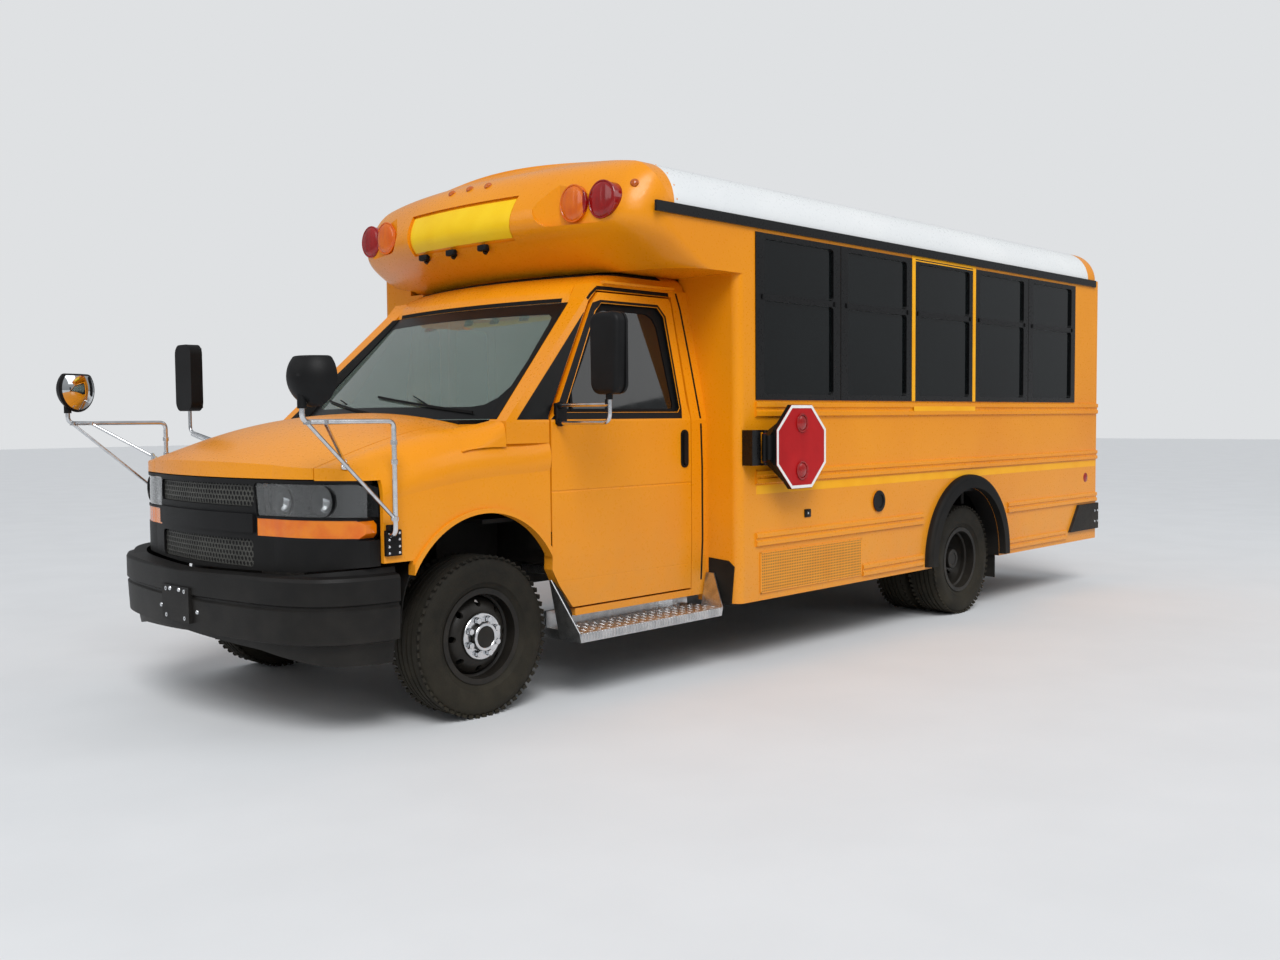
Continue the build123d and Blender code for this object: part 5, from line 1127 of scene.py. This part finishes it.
for side, name in SIDES:
    mesh = arch_liner(0.449, (570, 700, 840, 968), side, 93, 22, at(0, 0, 490), 0.003)
    piece("arch_liner_" + name, mesh, PLASTIC, 40)
for side, name in SIDES:
    mesh = arch_liner(0.4682, (1090, 1150, 1218), side, 180, 40, at(REAR_AXLE, 0, 400), 0.002)
    for x in (REAR_AXLE - 468, REAR_AXLE + 466):
        block(mesh, at(x, side * 1090, 362), at(x + 2, side * 1218, 400))
    piece("rear_arch_liner_" + name, mesh, PLASTIC, 40)
# Bolts in the ends of the rear bumper
bolts = bmesh.new()
for side in (1, -1):
    for x in (-6150, -6100):
        for z in (500, 585):
            spun(bolts, [(0, 0), (9, 0), (9, 3), (6, 6), (0, 6)], at(x, side * 1240, z), (0, side, 0), 12)
piece("rear_bumper_bolts", bolts, BRIGHT, 40)

# -------- seats

def pad(mesh, size, crown, place):
    """A stuffed block: its faces swell, and its sides pull in between the corners."""
    old = set(mesh.verts)
    made = bmesh.ops.create_cube(mesh, size=2.0)["verts"]
    bmesh.ops.subdivide_edges(mesh, edges=edges_of(made), cuts=5, use_grid_fill=True)
    made = [vertex for vertex in mesh.verts if vertex not in old]
    for vertex in made:
        x, y, z = vertex.co
        swell = crown / 1000 * (1 - x * x) * (1 - y * y) * (1 if z > 0 else -0.3)
        pull = 1 - 0.02 * (1 - z * z)
        vertex.co = Vector((x * pull * size[0], y * pull * size[1], z * size[2])) / 2000
        vertex.co.z += swell
    bmesh.ops.transform(mesh, matrix=place, verts=made)


def stuffed(name, mesh, node):
    """Makes pads one padded piece that stands for a CAD node."""
    made = piece(name, mesh, VINYL)
    smooth = made.modifiers.new("stuffing", "SUBSURF")
    smooth.levels = smooth.render_levels = 1
    for polygon in made.data.polygons:
        polygon.use_smooth = True
    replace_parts(made, node)


def leaning(degrees):
    """The turn of a seat back: on its end, then leaned back."""
    return Matrix.Rotation(math.radians(-degrees), 4, "Y") @ Matrix.Rotation(math.radians(90), 4, "Y")


benches, legs = bmesh.new(), bmesh.new()
for side in (1, -1):
    for index in range(5 if side > 0 else 4):
        x = -2020 - index * 790 - (0 if side > 0 else 400)
        middle = side * 708
        pad(benches, (424, 930, 104), 9, Matrix.Translation(at(x + 112, middle, 1136)))
        pad(benches, (560, 930, 74), 7, Matrix.Translation(at(x - 106, middle, 1470)) @ leaning(8.5))
        for y in (300, 1120):
            for dx in (-60, 250):
                disc(legs, at(x + dx, side * y, 750), (0, 0, 1), 0.014, 0.336)
            disc(legs, at(x - 60, side * y, 1050), (1, 0, 0), 0.014, 0.33)
stuffed("bench_pads", benches, "passenger_seats")
piece("bench_legs", legs, CHASSIS, 40)
seat_pads, base = bmesh.new(), bmesh.new()
pad(seat_pads, (440, 470, 100), 9, Matrix.Translation(at(-1222, 480, 962)))
pad(seat_pads, (640, 430, 72), 9, Matrix.Translation(at(-1445, 480, 1318)) @ leaning(9))
block(base, at(-1380, 300, 692), at(-1080, 660, 760), 0.01)
block(base, at(-1340, 330, 760), at(-1110, 630, 900), 0.02)
stuffed("driver_seat_pads", seat_pads, "driver_seat")
piece("driver_seat_base", base, TRIM)

# -------- rear of the bus

# Columns: piece, finish, and y and z of its two pairs of lamps
bezels = bmesh.new()
for name, lens_finish, places in (("rear_red_lenses", LENS_RED, ((930, 2300), (1050, 1160))),
                                  ("rear_amber_lenses", LENS_AMBER, ((700, 2300), (1050, 950)))):
    lights = bmesh.new()
    for y, z in places:
        for side in (1, -1):
            spun(lights, dome_profile(86, 12), at(REAR_WALL, side * y, z), (-1, 0, 0), 36)
            spun(bezels, ring_profile(87, 100, 7, 2), at(REAR_WALL, side * y, z), (-1, 0, 0), 36)
    piece(name, lights, lens_finish, 35)
piece("rear_lamp_bezels", bezels, RUBBER, 35)
rear_skin = skin_of("end_walls", "rear_cap", "exit_door", "body_sides")
clearance = bmesh.new()
for y, z in ((0, 2600), (157, 2598), (-157, 2598), (1080, 2450), (-1080, 2450)):
    stud(clearance, [(0, 0), (27, 0), (26, 8), (20, 14), (10, 18), (0, 19)], rear_skin, at(-7000, y, z),
         (1, 0, 0), 24)
piece("rear_clearance_lights", clearance, LENS_RED, 35)
# Blank plate on the rear door, in its holder
plate = bmesh.new()
block(plate, at(REAR_WALL - 3, -152, 1330), at(REAR_WALL, 152, 1420), 0.001)
piece("rear_plate_blank", plate, SIGN_WHITE, body="exit_door")
tape = bmesh.new()
for low, high in (((-455, 775), (-425, 2145)), ((425, 775), (455, 2145)), ((-425, 2115), (425, 2145))):
    block(tape, at(REAR_WALL - 1.2, *low), at(REAR_WALL, *high), 0.0004, 1)
piece("rear_door_tape", tape, TAPE, body="exit_door")

bpy.context.view_layer.update()
